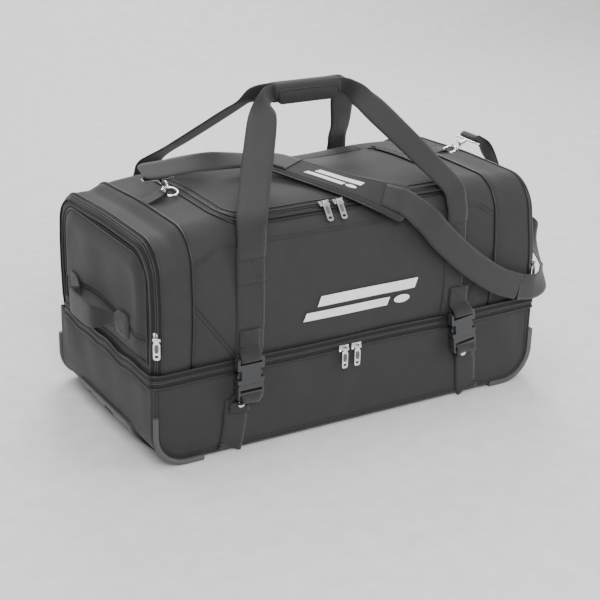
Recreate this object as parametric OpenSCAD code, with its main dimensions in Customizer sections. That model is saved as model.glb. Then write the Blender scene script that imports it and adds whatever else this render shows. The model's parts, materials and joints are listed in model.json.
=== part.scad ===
// Wheeled drop-bottom hockey equipment bag.
// Millimetres. +X runs from the pull-handle end to the wheel end, -Y is the front, +Z is up.
// The origin is on the floor, at the middle of the bag.

/* [Body] */
// Length of the bag body, end panel to end panel
bag_l = 740; // [700:10:780]
// Width of the bag body, front to rear
bag_w = 372; // [340:2:400]
// Height of the zip that parts the lower tub from the upper bag
zip_z = 148; // [140:1:156]
// Height of the main compartment's top
main_top = 384; // [380:1:396]
// Height of the end pockets' top
pocket_top = 368; // [362:1:374]
// Depth of each end pocket
pocket_d = 70; // [60:1:80]
// Thickness of the sewn, padded fabric walls
wall = 4; // [3:0.5:5]

/* [Webbing] */
// Width of the main webbing
web_w = 50; // [44:1:52]
// Width of the buckle webbing
tab_w = 38; // [34:1:40]
// Distance of the carry webbing from the middle
web_x = 202; // [196:1:206]
// Distance of the lower webbing from the middle
low_web_x = 226; // [222:1:230]
// Thickness of one layer of webbing
web_t = 2.4; // [2:0.1:2.6]

/* [Wheels] */
// Radius of each wheel
wheel_r = 37; // [35:0.5:38]
// Width of each wheel
wheel_w = 22; // [20:1:24]
// Distance of each wheel's axle from the middle, along the bag
wheel_x = 340; // [336:1:342]

/* [Carry handles] */
// Height of the carry grip
grip_z = 530; // [510:1:540]
// Half the length of the carry grip's bar
grip_half = 72; // [66:1:78]

/* [Hidden] */

$fn = 48;
gap = 0.3;                         // clearance between neighbouring pieces
half_l = bag_l / 2;
half_w = bag_w / 2;
seam_x = half_l - pocket_d;        // seam between the main compartment and each end pocket
tub_bottom = 3;                    // underside of the tub
edge_r = 56;                       // radius of the tub's lower edge at each end
side_r = 8;                        // radius of the tub's piped edges, front and rear
tub_top = zip_z - 3;
upper_bottom = zip_z + 3;
chain_t = 2.4;                     // height of one zip tape's edge
front_y = -half_w;                 // front face

// Opening of the main compartment
mouth_x = 226;
mouth_front = -154;
mouth_back = 104;
mouth_r = 40;
lid_t = 4;

// End pocket mouth
pocket_r = 26;                     // radius of each pocket's upright edges
flap_half = 160;
flap_bottom = 165;
flap_top = 350;
flap_r = 44;
flap_t = 10;

// Wheel housings
housing_x = 286;                   // inner end of the housing
housing_end = 374;                 // outer end of the housing
housing_bottom = 1;
housing_top = 96;
housing_r = 60;
housing_out = 188;                 // distance of the outer side from the bag's middle
housing_plate = 183;               // distance of the plate behind the cloth from the bag's middle
housing_in = 132;                  // distance of the inner side from the bag's middle
band = 9;                          // width of the band that shows round the corner
skid_y = 108;                      // distance of the outer floor rails from the middle
wheel_y = 162;
axle_r = 4;
bearing_r = 11;
bearing_w = 7;

// Telescopic pull handle
tube_y = 52;
tube_z = 22;
sleeve_r = 12;
stage1_r = 10;
stage2_r = 8;
tube_wall = 1.4;
slip = 0.15;                       // clearance between telescoping tubes
bezel_t = 5;

// Buckles
buckle_x = 208;
buckle_y = front_y - 14;           // middle plane of the buckles
buckle_t = 12;
buckle_mid = 121.5;                // height at which the two halves meet
right_tilt = 8;                    // lean of the right buckle, degrees

// Zip sliders
slider_l = 18;
slider_w = 11;
pull_l = 34;
pull_w = 11;
axis_out = 9;                      // distance of the pull's hinge from the fabric

// Carry handles
leg_root_z = 348;
leg_root_y = half_w + 3.6;
leg_bend_y = half_w - 11;
leg_bend_z = main_top - 10;
leg_bend_in = 6;
bar_y = 7;                         // distance of each bar's middle from the bag's middle

// Shoulder strap: each row is the middle of the band and the direction across it
strap_left_path = [
    [[-281, 33, 413], [0, 0.95, 0.35]],
    [[-240, 31, 414], [0, 0.95, 0.35]],
    [[-200, 29, 417], [0, 0.95, 0.35]],
    [[-155, 25, 418], [0, 0.95, 0.35]],
    [[-112, 23, 414], [0.1, 0.95, 0.25]],
    [[-76, 21, 409], [0.45, 0.88, 0.1]],
    [[-51.5, 16.4, 405.4], [0.85, 0.45, 0.1]]
];
strap_right_path = [
    [[88, -191.6, 367.4], [0.7, 0.35, 0.6]],
    [[119, -204.5, 341], [0.75, 0.1, 0.65]],
    [[150, -207, 306], [0.62, 0, 0.78]],
    [[205, -208, 258], [0.58, 0, 0.81]],
    [[270, -206, 212], [0.5, 0, 0.86]],
    [[320, -204, 190], [0.3, 0, 0.95]],
    [[362, -200, 184], [0.05, 0, 1]],
    [[392, -182, 190], [-0.2, 0.3, 0.93]],
    [[404, -150, 212], [-0.2, 0.55, 0.8]],
    [[404, -110, 256], [-0.1, 0.7, 0.7]],
    [[398, -66, 312], [0, 0.75, 0.65]],
    [[394, -24, 352], [0, 0.85, 0.5]],
    [[388, 8, 378], [-0.1, 0.95, 0.3]],
    [[376, 24, 391], [-0.1, 1, 0]]
];
pad_path = [
    [[-49, 14, 405], [0.85, 0.45, 0.1]],
    [[-34, -18, 402], [0.86, 0.42, 0.08]],
    [[-20, -52, 399], [0.88, 0.4, 0.08]],
    [[-6, -88, 397], [0.88, 0.38, 0.08]],
    [[6, -119, 395], [0.86, 0.45, 0.08]],
    [[24, -147, 391], [0.82, 0.5, 0.2]],
    [[50, -170, 383], [0.75, 0.5, 0.4]],
    [[84, -189, 370], [0.7, 0.35, 0.6]]
];

// A rectangle with rounded corners, from straight sides and true arcs
module round_rect(x0, x1, y0, y1, r) {
    translate([x0 + r, y0]) square([x1 - x0 - 2 * r, y1 - y0]);
    translate([x0, y0 + r]) square([x1 - x0, y1 - y0 - 2 * r]);
    for (x = [x0 + r, x1 - r], y = [y0 + r, y1 - r]) translate([x, y]) circle(r);
}

// A rectangle whose upper corners are rounded, and whose lower ones have their own radius
module arch_rect(half, z0, z1, r_top, r_low) {
    z_mid = (z0 + z1) / 2;
    translate([-half, z0 + r_low]) square([2 * half, z1 - z0 - r_low - r_top]);
    translate([-half + r_top, z_mid]) square([2 * half - 2 * r_top, z1 - z_mid]);
    translate([-half + r_low, z0]) square([2 * half - 2 * r_low, z_mid - z0]);
    for (s = [-1, 1]) {
        translate([s * (half - r_top), z1 - r_top]) circle(r_top);
        translate([s * (half - r_low), z0 + r_low]) circle(r_low);
    }
}

// Extrudes a drawing of the Y-Z plane along X, from x0 to x1
module along_x(x0, x1) {
    translate([x0, 0, 0]) rotate([90, 0, 90]) linear_extrude(x1 - x0) children();
}

// Extrudes a drawing of the X-Z plane along Y, from y0 to y1
module along_y(y0, y1) {
    translate([0, y1, 0]) rotate([90, 0, 0]) linear_extrude(y1 - y0) children();
}

module box(x0, x1, y0, y1, z0, z1) {
    translate([x0, y0, z0]) cube([x1 - x0, y1 - y0, z1 - z0]);
}

module rod_y(x, z, r, y0, y1) {
    translate([x, y1, z]) rotate([90, 0, 0]) cylinder(r = r, h = y1 - y0);
}

module rod_x(y, z, r, x0, x1) {
    translate([x0, y, z]) rotate([0, 90, 0]) cylinder(r = r, h = x1 - x0);
}

// The front and rear copies of something drawn at the front
module front_and_rear() {
    children();
    mirror([0, 1, 0]) children();
}

module left_and_right() {
    children();
    mirror([1, 0, 0]) children();
}

// A flat band swept along stations of [middle, direction across]
function unit(v) = v / norm(v);
function tangent(path, i) =
    unit(path[min(i + 1, len(path) - 1)][0] - path[max(i - 1, 0)][0]);
function across(path, i) =
    let (t = tangent(path, i), a = unit(path[i][1])) unit(a - t * (a * t));
function band_ring(path, i, w, t) =
    let (a = across(path, i), n = cross(tangent(path, i), a), c = path[i][0])
    [for (k = [[-1, -1], [1, -1], [1, 1], [-1, 1]]) c + a * (k[0] * w / 2) + n * (k[1] * t / 2)];

module swept_band(path, w, t) {
    last = len(path) - 1;
    points = [for (i = [0:last]) each band_ring(path, i, w, t)];
    sides = [for (i = [0:last - 1], k = [0:3])
        [4 * i + k, 4 * i + (k + 1) % 4, 4 * i + 4 + (k + 1) % 4, 4 * i + 4 + k]];
    ends = [[3, 2, 1, 0], [for (k = [0:3]) 4 * last + k]];
    triangles = [for (f = concat(sides, ends)) each [[f[2], f[1], f[0]], [f[3], f[2], f[0]]]];
    polyhedron(points = points, faces = triangles, convexity = 6);
}

// ---- Lower tub ----

module tub_block(inset, top) {
    intersection() {
        translate([0, 0, tub_bottom + inset]) linear_extrude(top - tub_bottom - inset)
            round_rect(-half_l + inset, half_l - inset, -half_w + inset, half_w - inset, side_r - inset);
        along_x(-half_l, half_l)
            arch_rect(half_w - inset, tub_bottom + inset, top + 60, 10, side_r - inset);
        along_y(-half_w, half_w)
            arch_rect(half_l - inset, tub_bottom + inset, top + 60, 10, edge_r - inset);
    }
}

module housing_profile(inset) {
    x0 = housing_x + inset;
    x1 = housing_end - inset;
    z0 = housing_bottom + inset;
    z1 = housing_top - inset;
    r = housing_r - inset;
    intersection() {
        translate([x0, z0]) square([x1 - x0, z1 - z0]);
        union() {
            translate([x0, z0]) square([x1 - x0 - r, z1 - z0]);
            translate([x0, z0 + r]) square([x1 - x0, z1 - z0 - r]);
            translate([x1 - r, z0 + r]) circle(r);
        }
    }
}

// The part of the housing that shows: a band along the bottom, round the corner and up the end
module housing_lip(grow) {
    difference() {
        housing_profile(-grow);
        housing_profile(band + grow);
        translate([housing_x - 1, housing_bottom + band + grow])
            square([housing_end - housing_r - housing_x + 1, 200]);
        translate([housing_x - 1, housing_bottom + housing_r])
            square([housing_end - band - grow - housing_x + 1, 200]);
    }
}

module lower_shell() {
    color("#3a3a3c") difference() {
        tub_block(0, tub_top);
        tub_block(wall, tub_top + 1);
        front_and_rear() {
            along_y(-housing_out - 2, -housing_plate + 0.1) housing_lip(gap);
            along_y(-housing_plate - gap, -housing_in + gap) housing_profile(-gap);
        }
        box(-half_l - 1, -half_l + 60, -bezel_mouth_half, bezel_mouth_half, 2, 36 + gap);
    }
}

module base_board() {
    color("#202022") translate([0, 0, 38]) linear_extrude(3) difference() {
        round_rect(-half_l + 44, housing_x - 6, -half_w + 12, half_w - 12, 20);
    }
}

module base_skids() {
    color("#2c2c2e") for (y = [-skid_y, 0, skid_y]) hull() {
        box(-half_l + 70, housing_x - 40, y - 8, y + 8, tub_bottom - 0.6 - gap, tub_bottom - gap);
        box(-half_l + 78, housing_x - 48, y - 4, y + 4, 0, 0.6);
    }
}

// One half of the tub's zip: a U along the two ends and the front
module zip_u(z0) {
    translate([0, 0, z0]) linear_extrude(chain_t) difference() {
        round_rect(-half_l - 1, half_l + 1, -half_w - 1, half_w + 60, side_r + 1);
        round_rect(-half_l + 5, half_l - 5, -half_w + 5, half_w + 80, side_r - 5);
        translate([-half_l - 10, half_w - 30]) square([bag_l + 20, 120]);
    }
}

module lower_zip_tape() {
    color("#26282a") zip_u(zip_z - chain_t - 0.2);
}

module upper_zip_tape() {
    color("#26282a") zip_u(zip_z + 0.2);
}

guard_r = 4.5;
guard_bend = 52;
module corner_guards() {
    color("#5a5c5e") front_and_rear() translate([-half_l + 3, front_y - guard_r - 0.6, guard_r + 1]) {
        translate([guard_bend, 0, guard_bend]) rotate([90, 0, 0]) rotate([0, 0, 180])
            rotate_extrude(angle = 90) translate([guard_bend, 0]) circle(guard_r);
        translate([0, 0, guard_bend]) cylinder(r = guard_r, h = 34);
        translate([guard_bend, 0, 0]) rotate([0, 90, 0]) cylinder(r = guard_r, h = 30);
    }
}

module wheel_housing_front() {
    difference() {
        union() {
            along_y(-housing_out, -housing_plate + 1) housing_lip(0);
            along_y(-housing_plate, -housing_in) difference() {
                housing_profile(0);
                housing_profile(band);
            }
            along_y(-housing_plate, -housing_plate + 3) housing_profile(0.5);
            along_y(-housing_in - 4, -housing_in) housing_profile(0.5);
        }
        rod_y(wheel_x, wheel_r, wheel_r + 3, -wheel_y - wheel_w / 2 - 2, -wheel_y + wheel_w / 2 + 2);
        box(wheel_x, housing_end + 5, -wheel_y - wheel_w / 2 - 2, -wheel_y + wheel_w / 2 + 2,
            wheel_r - 20, wheel_r + 20);
        rod_y(wheel_x, wheel_r, axle_r + 0.05, -housing_plate - 1, -housing_in + 2);
    }
}

module wheel_housings() {
    color("#55575a") front_and_rear() wheel_housing_front();
}

module wheel_axles() {
    color("silver") front_and_rear() {
        rod_y(wheel_x, wheel_r, axle_r, -housing_plate, -housing_in + 3);
        rod_y(wheel_x, wheel_r, 7, -housing_in + gap, -housing_in + 3);
    }
}

// Bodies of revolution about a wheel's axle, drawn as radius against width
module about_axle(y) {
    translate([wheel_x, y, wheel_r]) rotate([90, 0, 0]) children();
}

module tyre() {
    color("#1c1c1e") rotate_extrude($fn = 96) {
        translate([27, -wheel_w / 2]) square([wheel_r - 27 - 5, wheel_w]);
        translate([27, -wheel_w / 2 + 5]) square([wheel_r - 27, wheel_w - 10]);
        for (s = [-1, 1]) translate([wheel_r - 5, s * (wheel_w / 2 - 5)]) circle(5);
    }
}

module hub() {
    color("#6a6c70") difference() {
        rotate_extrude($fn = 96) {
            translate([bearing_r, -wheel_w / 2 + 1]) square([5, wheel_w - 2]);
            translate([bearing_r - 3, -wheel_w / 2 + 1 + bearing_w + 0.1])
                square([6, wheel_w - 2 - 2 * bearing_w - 0.2]);
            translate([15, -4]) square([8, 8]);
            translate([22, -wheel_w / 2 + 1]) square([5, wheel_w - 2]);
        }
        for (a = [0:60:300]) rotate([0, 0, a]) translate([19, 0, -6]) cylinder(r = 2.4, h = 12);
    }
}

module bearings() {
    color("silver") for (s = [-1, 1])
        translate([0, 0, s * (wheel_w / 2 - 1 - bearing_w / 2) - bearing_w / 2]) difference() {
            cylinder(r = bearing_r - 0.01, h = bearing_w);
            translate([0, 0, -1]) cylinder(r = axle_r + 0.05, h = bearing_w + 2);
        }
}

// ---- Telescopic pull handle ----

bezel_half = 105;
bezel_foot = 140;
bezel_top = 46;
bezel_mouth_half = 76;
mouth_low = 9;
mouth_high = 33;

module bezel_face() {
    translate([-bezel_half, 20]) square([2 * bezel_half, bezel_top - 20 - 14]);
    translate([-bezel_half + 14, 20]) square([2 * bezel_half - 28, bezel_top - 20]);
    for (s = [-1, 1]) translate([s * (bezel_half - 14), bezel_top - 14]) circle(14);
    polygon([[-bezel_foot, 3], [bezel_foot, 3], [bezel_foot - 12, 8], [bezel_half + 6, 16],
             [bezel_half, 28], [-bezel_half, 28], [-bezel_half - 6, 16], [-bezel_foot + 12, 8]]);
}

// A disc about the centre of the rounded lower edge, drawn in the X-Z plane
module edge_disc(r) {
    translate([-half_l + edge_r, tub_bottom + edge_r]) circle(r, $fn = 96);
}

module pull_bezel() {
    color("#5c5e61") difference() {
        intersection() {
            union() {
                along_x(-half_l - bezel_t - 1, -half_l + edge_r) difference() {
                    bezel_face();
                    round_rect(-bezel_mouth_half + 3, bezel_mouth_half - 3, mouth_low, mouth_high, 5);
                }
                along_x(-half_l - bezel_t, -half_l + 32)
                    round_rect(-bezel_mouth_half + gap, bezel_mouth_half - gap,
                               mouth_low - 3, mouth_high + 2.7, 6);
            }
            along_y(-bezel_foot - 1, bezel_foot + 1) edge_disc(edge_r + gap + bezel_t);
        }
        difference() {
            along_y(-bezel_foot - 2, bezel_foot + 2) edge_disc(edge_r + gap);
            along_x(-half_l - 1, -half_l + 32)
                round_rect(-bezel_mouth_half + gap, bezel_mouth_half - gap,
                           mouth_low - 3, mouth_high + 2.7, 6);
        }
        along_x(-half_l - bezel_t - 1, -half_l + 29)
            round_rect(-bezel_mouth_half + 3, bezel_mouth_half - 3, mouth_low, mouth_high, 5);
        for (s = [-1, 1]) rod_x(s * tube_y, tube_z, stage1_r + slip, -half_l + 20, -half_l + 40);
    }
}

sleeve_x0 = -half_l + 32 + gap;
sleeve_x1 = 268;
module tube(y, r, x0, x1, hole) {
    difference() {
        rod_x(y, tube_z, r, x0, x1);
        rod_x(y, tube_z, hole, x0 - 1, x1 + 1);
    }
}

module tube_sleeves() {
    color("#303234") for (s = [-1, 1])
        tube(s * tube_y, sleeve_r - 0.4, sleeve_x0, sleeve_x1, stage1_r + slip);
}

module stage1_tubes() {
    color("#8a8c90") for (s = [-1, 1])
        tube(s * tube_y, stage1_r, sleeve_x0 - 2.5, sleeve_x1 - 6, stage2_r + slip);
}

grip_x1 = -half_l + 26;             // inner face of the pull grip
module stage2_tubes() {
    color("#a8aaae") for (s = [-1, 1])
        tube(s * tube_y, stage2_r, grip_x1, sleeve_x1 - 12, stage2_r - tube_wall);
}

button_half = 12;
button_proud = 1.5;
module pull_grip() {
    color("#8c8e91") difference() {
        intersection() {
            along_x(-half_l - bezel_t, grip_x1) round_rect(-68, 68, 14, 30, 7);
            along_y(-69, 69) edge_disc(edge_r + bezel_t - 0.5);
        }
        difference() {
            along_x(-half_l - bezel_t - 1, grip_x1 - 2)
                round_rect(-button_half - gap, button_half + gap, 16 - gap, 28 + gap, 5);
            along_y(-button_half - 2, button_half + 2) edge_disc(edge_r - 5);
        }
    }
}

module pull_button() {
    color("#232426") difference() {
        intersection() {
            along_x(-half_l - bezel_t - 3, grip_x1 - 6) round_rect(-button_half, button_half, 16, 28, 5);
            along_y(-button_half - 1, button_half + 1) edge_disc(edge_r + bezel_t - 0.5 + button_proud);
        }
        along_y(-button_half - 2, button_half + 2) edge_disc(edge_r - 2);
    }
}

// ---- Webbing, rivets and buckles on the tub ----

module lower_webbing() {
    color("#2f3031") left_and_right() {
        box(low_web_x - web_w / 2, low_web_x + web_w / 2, front_y - gap - web_t, front_y - gap, 32, 92);
        box(buckle_x - tab_w / 2, buckle_x + tab_w / 2,
            front_y - 2 * gap - 2 * web_t, front_y - 2 * gap - web_t, 76, 95);
    }
}

rivet_x = 218;
rivet_z = 83;
module strap_rivets() {
    color("silver") left_and_right()
        rod_y(rivet_x, rivet_z, 5, front_y - 2 * web_t - 3 * gap - 2.6, front_y - 2 * web_t - 3 * gap);
}

module at_buckles() {
    translate([-buckle_x, buckle_y, buckle_mid]) children();
    translate([buckle_x, buckle_y, buckle_mid]) rotate([0, -right_tilt, 0]) children();
}

// Lower half: a webbing frame and the guide tongue. Drawn about the meeting line.
module buckle_male() {
    difference() {
        along_y(-buckle_t / 2, buckle_t / 2) round_rect(-23, 23, -27, -gap, 3);
        box(-19.5, 19.5, -8, 8, -23, -17.5);
        box(-19.5, 19.5, -8, 8, -13, -8.5);
    }
    box(-4.5, 4.5, -1.5, 1.5, -gap - 1, 15);
}

module buckle_males() {
    color("#4a4c4e") at_buckles() buckle_male();
}

module buckle_arm() {
    along_y(-1.5, 1.5)
        polygon([[11, gap], [15, gap], [16.5, 9], [22.5, 11], [22.5, 16], [18, 23], [14.5, 22], [12.5, 12]]);
}

module buckle_arms() {
    color("#6e7072") at_buckles() left_and_right() buckle_arm();
}

// Upper half: a pocket with a window in each side, and a bar for its webbing
module buckle_female() {
    difference() {
        along_y(-buckle_t / 2, buckle_t / 2) round_rect(-24, 24, 0, 45, 4);
        box(-18.5, 18.5, -3.2, 3.2, -1, 28);
        for (s = [-1, 1]) box(min(s * 17, s * 30), max(s * 17, s * 30), -8, 8, 9, 25);
        box(-19.5, 19.5, -8, 8, 34.5, 40);
    }
}

module buckle_females() {
    color("#4a4c4e") at_buckles() buckle_female();
}

// ---- Zip sliders: the body's outer face looks along -Y, and the chain runs along X ----

module slider_body(l = slider_l, w = slider_w) {
    box(-l / 2, l / 2, -5, -1.2, -w / 2, w / 2);
    difference() {
        for (s = [-1, 1]) box(s * 5 - 1, s * 5 + 1, -axis_out - 2, -4.5, -2, 2);
        translate([-8, -axis_out, 0]) rotate([0, 90, 0]) cylinder(r = 1.1, h = 16);
    }
}

module pull_tab() {
    translate([-3.7, -axis_out, 0]) rotate([0, 90, 0]) cylinder(r = 2, h = 7.4);
    translate([-6, -axis_out, 0]) rotate([0, 90, 0]) cylinder(r = 0.95, h = 12);
    translate([0, -axis_out, 0]) along_y(-0.9, 0.9) difference() {
        union() {
            translate([-3.5, -8]) square([7, 7]);
            round_rect(-pull_w / 2, pull_w / 2, -pull_l, -5, 4);
        }
        round_rect(-3, 3, -pull_l + 4, -pull_l + 8, 1.9);
    }
}

lower_mid = -16;                   // the sliders of the lower zip meet left of the middle
lower_slider_x = 12;
top_mid = -41;                     // the main zip's sliders meet left of the middle
top_slider_x = 13;
pocket_slider_z = 222;
pocket_turn = 33;                  // direction that the rounded corner faces there, degrees
pocket_slider_x = half_l - pocket_r + pocket_r * sin(pocket_turn);
pocket_slider_y = -half_w + pocket_r - pocket_r * cos(pocket_turn);

module at_lower(s) {
    translate([lower_mid + s * lower_slider_x, front_y - 1.4, zip_z - 7]) children();
}

// The main zip's sliders lie on the rounded shoulder, and face up and forward
shoulder_r = 58;
top_turn = 62;
top_drop = 24;                      // the main zip's pulls hang this far down from their sliders, degrees
module at_top(s) {
    translate([top_mid + s * top_slider_x, -half_w + shoulder_r, main_top - shoulder_r])
        rotate([-top_turn, 0, 0]) translate([0, -shoulder_r - 2.2, 0]) children();
}

// The pocket zips run up the rounded corner between the front and each end
module at_pocket(s) {
    translate([s * pocket_slider_x, pocket_slider_y, pocket_slider_z])
        rotate([0, 0, s * pocket_turn]) children();
}

module lower_slider(s) { color("silver") at_lower(s) slider_body(); }
module lower_pull(s) { color("silver") at_lower(s) pull_tab(); }
module top_slider(s) { color("silver") at_top(s) slider_body(); }
module top_pull(s) { color("silver") at_top(s) rotate_about_axis(top_drop) pull_tab(); }
module pocket_slider(s) { color("silver") at_pocket(s) slider_body(slider_w, slider_l); }
module pocket_pull(s) { color("silver") at_pocket(s) pull_tab(); }

// Turns a pull about its own hinge
module rotate_about_axis(angle) {
    translate([0, -axis_out, 0]) rotate([angle, 0, 0]) translate([0, axis_out, 0]) children();
}

// ---- Upper bag ----

module main_profile(inset) {
    arch_rect(half_w - inset, upper_bottom + inset, main_top - inset, shoulder_r - inset, 6 - inset);
}

module upper_shell() {
    color("#39393b") difference() {
        along_x(-seam_x + gap, seam_x - gap) main_profile(0);
        along_x(-seam_x + gap + wall, seam_x - gap - wall) {
            main_profile(wall);
            translate([-half_w + wall, upper_bottom - 5]) square([bag_w - 2 * wall, 40]);
        }
        mouth_column(0);
    }
}

module divider_floor() {
    color("#2b2b2d") translate([0, 0, upper_bottom + 1]) linear_extrude(3)
        round_rect(-seam_x + wall + 2, seam_x - wall - 2, -half_w + wall + 1, half_w - wall - 1, 10);
}

module pocket_profile(inset) {
    arch_rect(half_w - 1 - inset, upper_bottom + inset, pocket_top - inset, 54 - inset, 6 - inset);
}

module pocket_block(inset) {
    intersection() {
        along_x(seam_x + gap, half_l - inset) pocket_profile(inset);
        translate([0, 0, upper_bottom - 5]) linear_extrude(pocket_top)
            round_rect(-half_l, half_l - inset, -half_w + inset, half_w - inset, pocket_r - inset);
    }
}

module right_pocket_shell() {
    difference() {
        pocket_block(0);
        translate([-0.5, 0, 0]) pocket_block(wall);
        along_x(seam_x - 5, half_l - 20) pocket_profile(wall);
        along_x(half_l - 30, half_l + 5) arch_rect(flap_half, flap_bottom, flap_top, flap_r, 4);
    }
}

module right_pocket() { color("#39393b") right_pocket_shell(); }
module left_pocket() { color("#39393b") mirror([1, 0, 0]) right_pocket_shell(); }

module right_flap_panel() {
    along_x(half_l - wall, half_l - wall + flap_t)
        arch_rect(flap_half - gap, flap_bottom + gap, flap_top - gap, flap_r - gap, 4);
}

module right_flap() { color("#38383a") right_flap_panel(); }
module left_flap() { color("#38383a") mirror([1, 0, 0]) right_flap_panel(); }

flap_face = half_l - wall + flap_t;
grab_z = 215;                      // middle height of each grab handle
grab_reach = 36;
grab_end = 70;                     // half the length of the grab handle's loop
grab_root = 3.6;                   // distance of the loop's gathered ends from the flap

// The loop's ends are gathered, so it swings up and down without touching the flap
module right_grab() {
    x0 = flap_face + grab_root;
    x1 = flap_face + grab_reach;
    translate([0, 0, grab_z - 19]) linear_extrude(38)
        polygon([[x1 - 4, -40], [x0 + 6.5, -56], [x0 + 10.5, -58], [x1, -43],
                 [x1, 43], [x0 + 10.5, 58], [x0 + 6.5, 56], [x1 - 4, 40]]);
    for (s = [-1, 1]) translate([0, 0, grab_z - 6]) linear_extrude(12)
        polygon([[x0, s * grab_end], [x0 + 4, s * grab_end], [x0 + 10.5, s * 56], [x0 + 6.5, s * 55]]);
}

module right_tabs() {
    for (s = [-1, 1]) translate([flap_face + gap, s * (grab_end + 21), grab_z]) rotate([0, 90, 0])
        linear_extrude(3) square([38, 41], center = true);
}

module right_grab_handle() { color("#2e2f30") right_grab(); }
module left_grab_handle() { color("#2e2f30") mirror([1, 0, 0]) right_grab(); }
module right_grab_tabs() { color("#2e2f30") right_tabs(); }
module left_grab_tabs() { color("#2e2f30") mirror([1, 0, 0]) right_tabs(); }

module piping_rings() {
    color("#2a2b2c") left_and_right() along_x(seam_x - 2, seam_x + 2) difference() {
        arch_rect(half_w + 4.2, upper_bottom, main_top + 4.2, shoulder_r + 4.2, 6);
        arch_rect(half_w + gap, upper_bottom - 1, main_top + gap, shoulder_r + gap, 5);
        translate([-half_w - 10, upper_bottom - 2]) square([bag_w + 20, 8]);
    }
}

// A skin that follows the main compartment's section, between two distances from its outer face
module section_skin(low, high) {
    along_x(-seam_x + 1, seam_x - 1) difference() {
        main_profile(-high);
        main_profile(-low);
    }
}

module mouth_column(grow) {
    translate([0, 0, main_top - 40]) linear_extrude(60)
        round_rect(-mouth_x - grow, mouth_x + grow, mouth_front - grow, mouth_back + grow, mouth_r + grow);
}

module main_zip_tape() {
    color("#26282a") difference() {
        intersection() {
            section_skin(gap, gap + 1.6);
            mouth_column(5);
        }
        mouth_column(0);
        box(-mouth_x - 20, mouth_x + 20, mouth_back - 30, mouth_back + 30, main_top - 5, main_top + 5);
    }
}

module body_webbing() {
    color("#2f3031") {
        front_and_rear() left_and_right()
            box(web_x - web_w / 2, web_x + web_w / 2, front_y - gap - web_t, front_y - gap, 158, 332);
        left_and_right()
            box(web_x - tab_w / 2, web_x + tab_w / 2,
                front_y - 2 * gap - 2 * web_t, front_y - 2 * gap - web_t, 168, 206);
    }
}

module lid_panel() {
    color("#39393b") intersection() {
        section_skin(-lid_t, 0);
        mouth_column(-gap);
    }
}

// ---- Carry handles ----

// A leg rises past the bag's rounded shoulder, then leans in and gathers at the bar
module leg_band(x, y, z0, z1) {
    box(x - web_w / 2, x + web_w / 2, -y - web_t / 2, -y + web_t / 2, z0, z1);
}

module handle_leg() {
    hull() {
        leg_band(web_x, leg_root_y, leg_root_z - 8, leg_root_z);
        leg_band(web_x - leg_bend_in, leg_bend_y, leg_bend_z, leg_bend_z + 6);
    }
    hull() {
        leg_band(web_x - leg_bend_in, leg_bend_y, leg_bend_z, leg_bend_z + 6);
        box(grip_half - 6, grip_half + 4, -bar_y - 6, -bar_y + 6, grip_z - 8, grip_z + 8);
    }
}

module front_handle() {
    color("#2f3031") {
        left_and_right() handle_leg();
        box(-grip_half, grip_half, -bar_y - 6, -bar_y + 6, grip_z - 8, grip_z + 8);
    }
}

module rear_handle() {
    color("#2f3031") mirror([0, 1, 0]) {
        left_and_right() handle_leg();
        box(-grip_half, grip_half, -bar_y - 6, -bar_y + 6, grip_z - 8, grip_z + 8);
    }
}

wrap_half = grip_half - 7;
module handle_wrap() {
    color("#333335") along_x(-wrap_half, wrap_half) difference() {
        round_rect(-18, 18, grip_z - 19, grip_z + 14, 9);
        translate([-14, grip_z - 9]) square([28, 18]);
    }
}

// ---- Shoulder strap and its hardware ----

ring_r = 13;
ring_t = 2;
hook_r = 8.5;
hook_t = 1.8;
ring_tilt = 14;
left_ring = [-256, -18, main_top + 7];
right_ring = [322, 22, pocket_top + 9];
right_ring_tilt = 20;

module ring(r, t) {
    rotate_extrude() translate([r, 0]) circle(t, $fn = 16);
}

// Each hook points up from its ring: along the bag at the right, and towards the rear at the left
module at_ring(place, tilt, turn = 0) {
    translate(place) rotate([0, 0, turn]) rotate([0, -tilt, 0]) children();
}

module ring_tabs() {
    color("#2f3031") {
        box(-298, left_ring[0] - 16, -32, -4, main_top + gap, main_top + gap + 3);
        box(302.5, right_ring[0] - 15.5, 8, 36, pocket_top + gap, pocket_top + gap + 3);
    }
}

module d_rings() {
    color("silver") {
        at_ring(left_ring, ring_tilt, 90) ring(ring_r, ring_t);
        at_ring(right_ring, right_ring_tilt) ring(ring_r, ring_t);
    }
}

// Snap hook: the catch ring, the swivel barrel and the wire loop that holds the strap
module snap_hook() {
    translate([ring_r + 3.7, 0, 0]) {
        rotate([90, 0, 0]) ring(hook_r, hook_t);
        rotate([0, 90, 0]) translate([0, 0, hook_r]) cylinder(r = 3.4, h = 13);
    }
}

module wire_loop(w, d) {
    for (s = [-1, 1]) {
        translate([-w / 2, 0, s * d / 2]) rotate([0, 90, 0]) cylinder(r = 1.7, h = w);
        translate([s * w / 2, 0, -d / 2]) cylinder(r = 1.7, h = d);
    }
}

left_loop = left_ring + [0, 41.5, 11];
right_loop = right_ring + [41, 0, 14];
module snap_hooks() {
    color("silver") {
        at_ring(left_ring, ring_tilt, 90) snap_hook();
        translate(left_loop) rotate([ring_tilt - 90, 0, 0]) wire_loop(54, 9);
        at_ring(right_ring, right_ring_tilt) snap_hook();
        translate(right_loop) rotate([0, 20, 0]) rotate([90, 0, 90]) wire_loop(56, 9);
    }
}

module strap_left() {
    color("#353637") swept_band(strap_left_path, web_w, web_t);
}

module strap_right() {
    color("#353637") swept_band(strap_right_path, web_w, web_t);
}

module strap_pad() {
    color("#343436") swept_band(pad_path, 66, 10);
}

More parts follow.
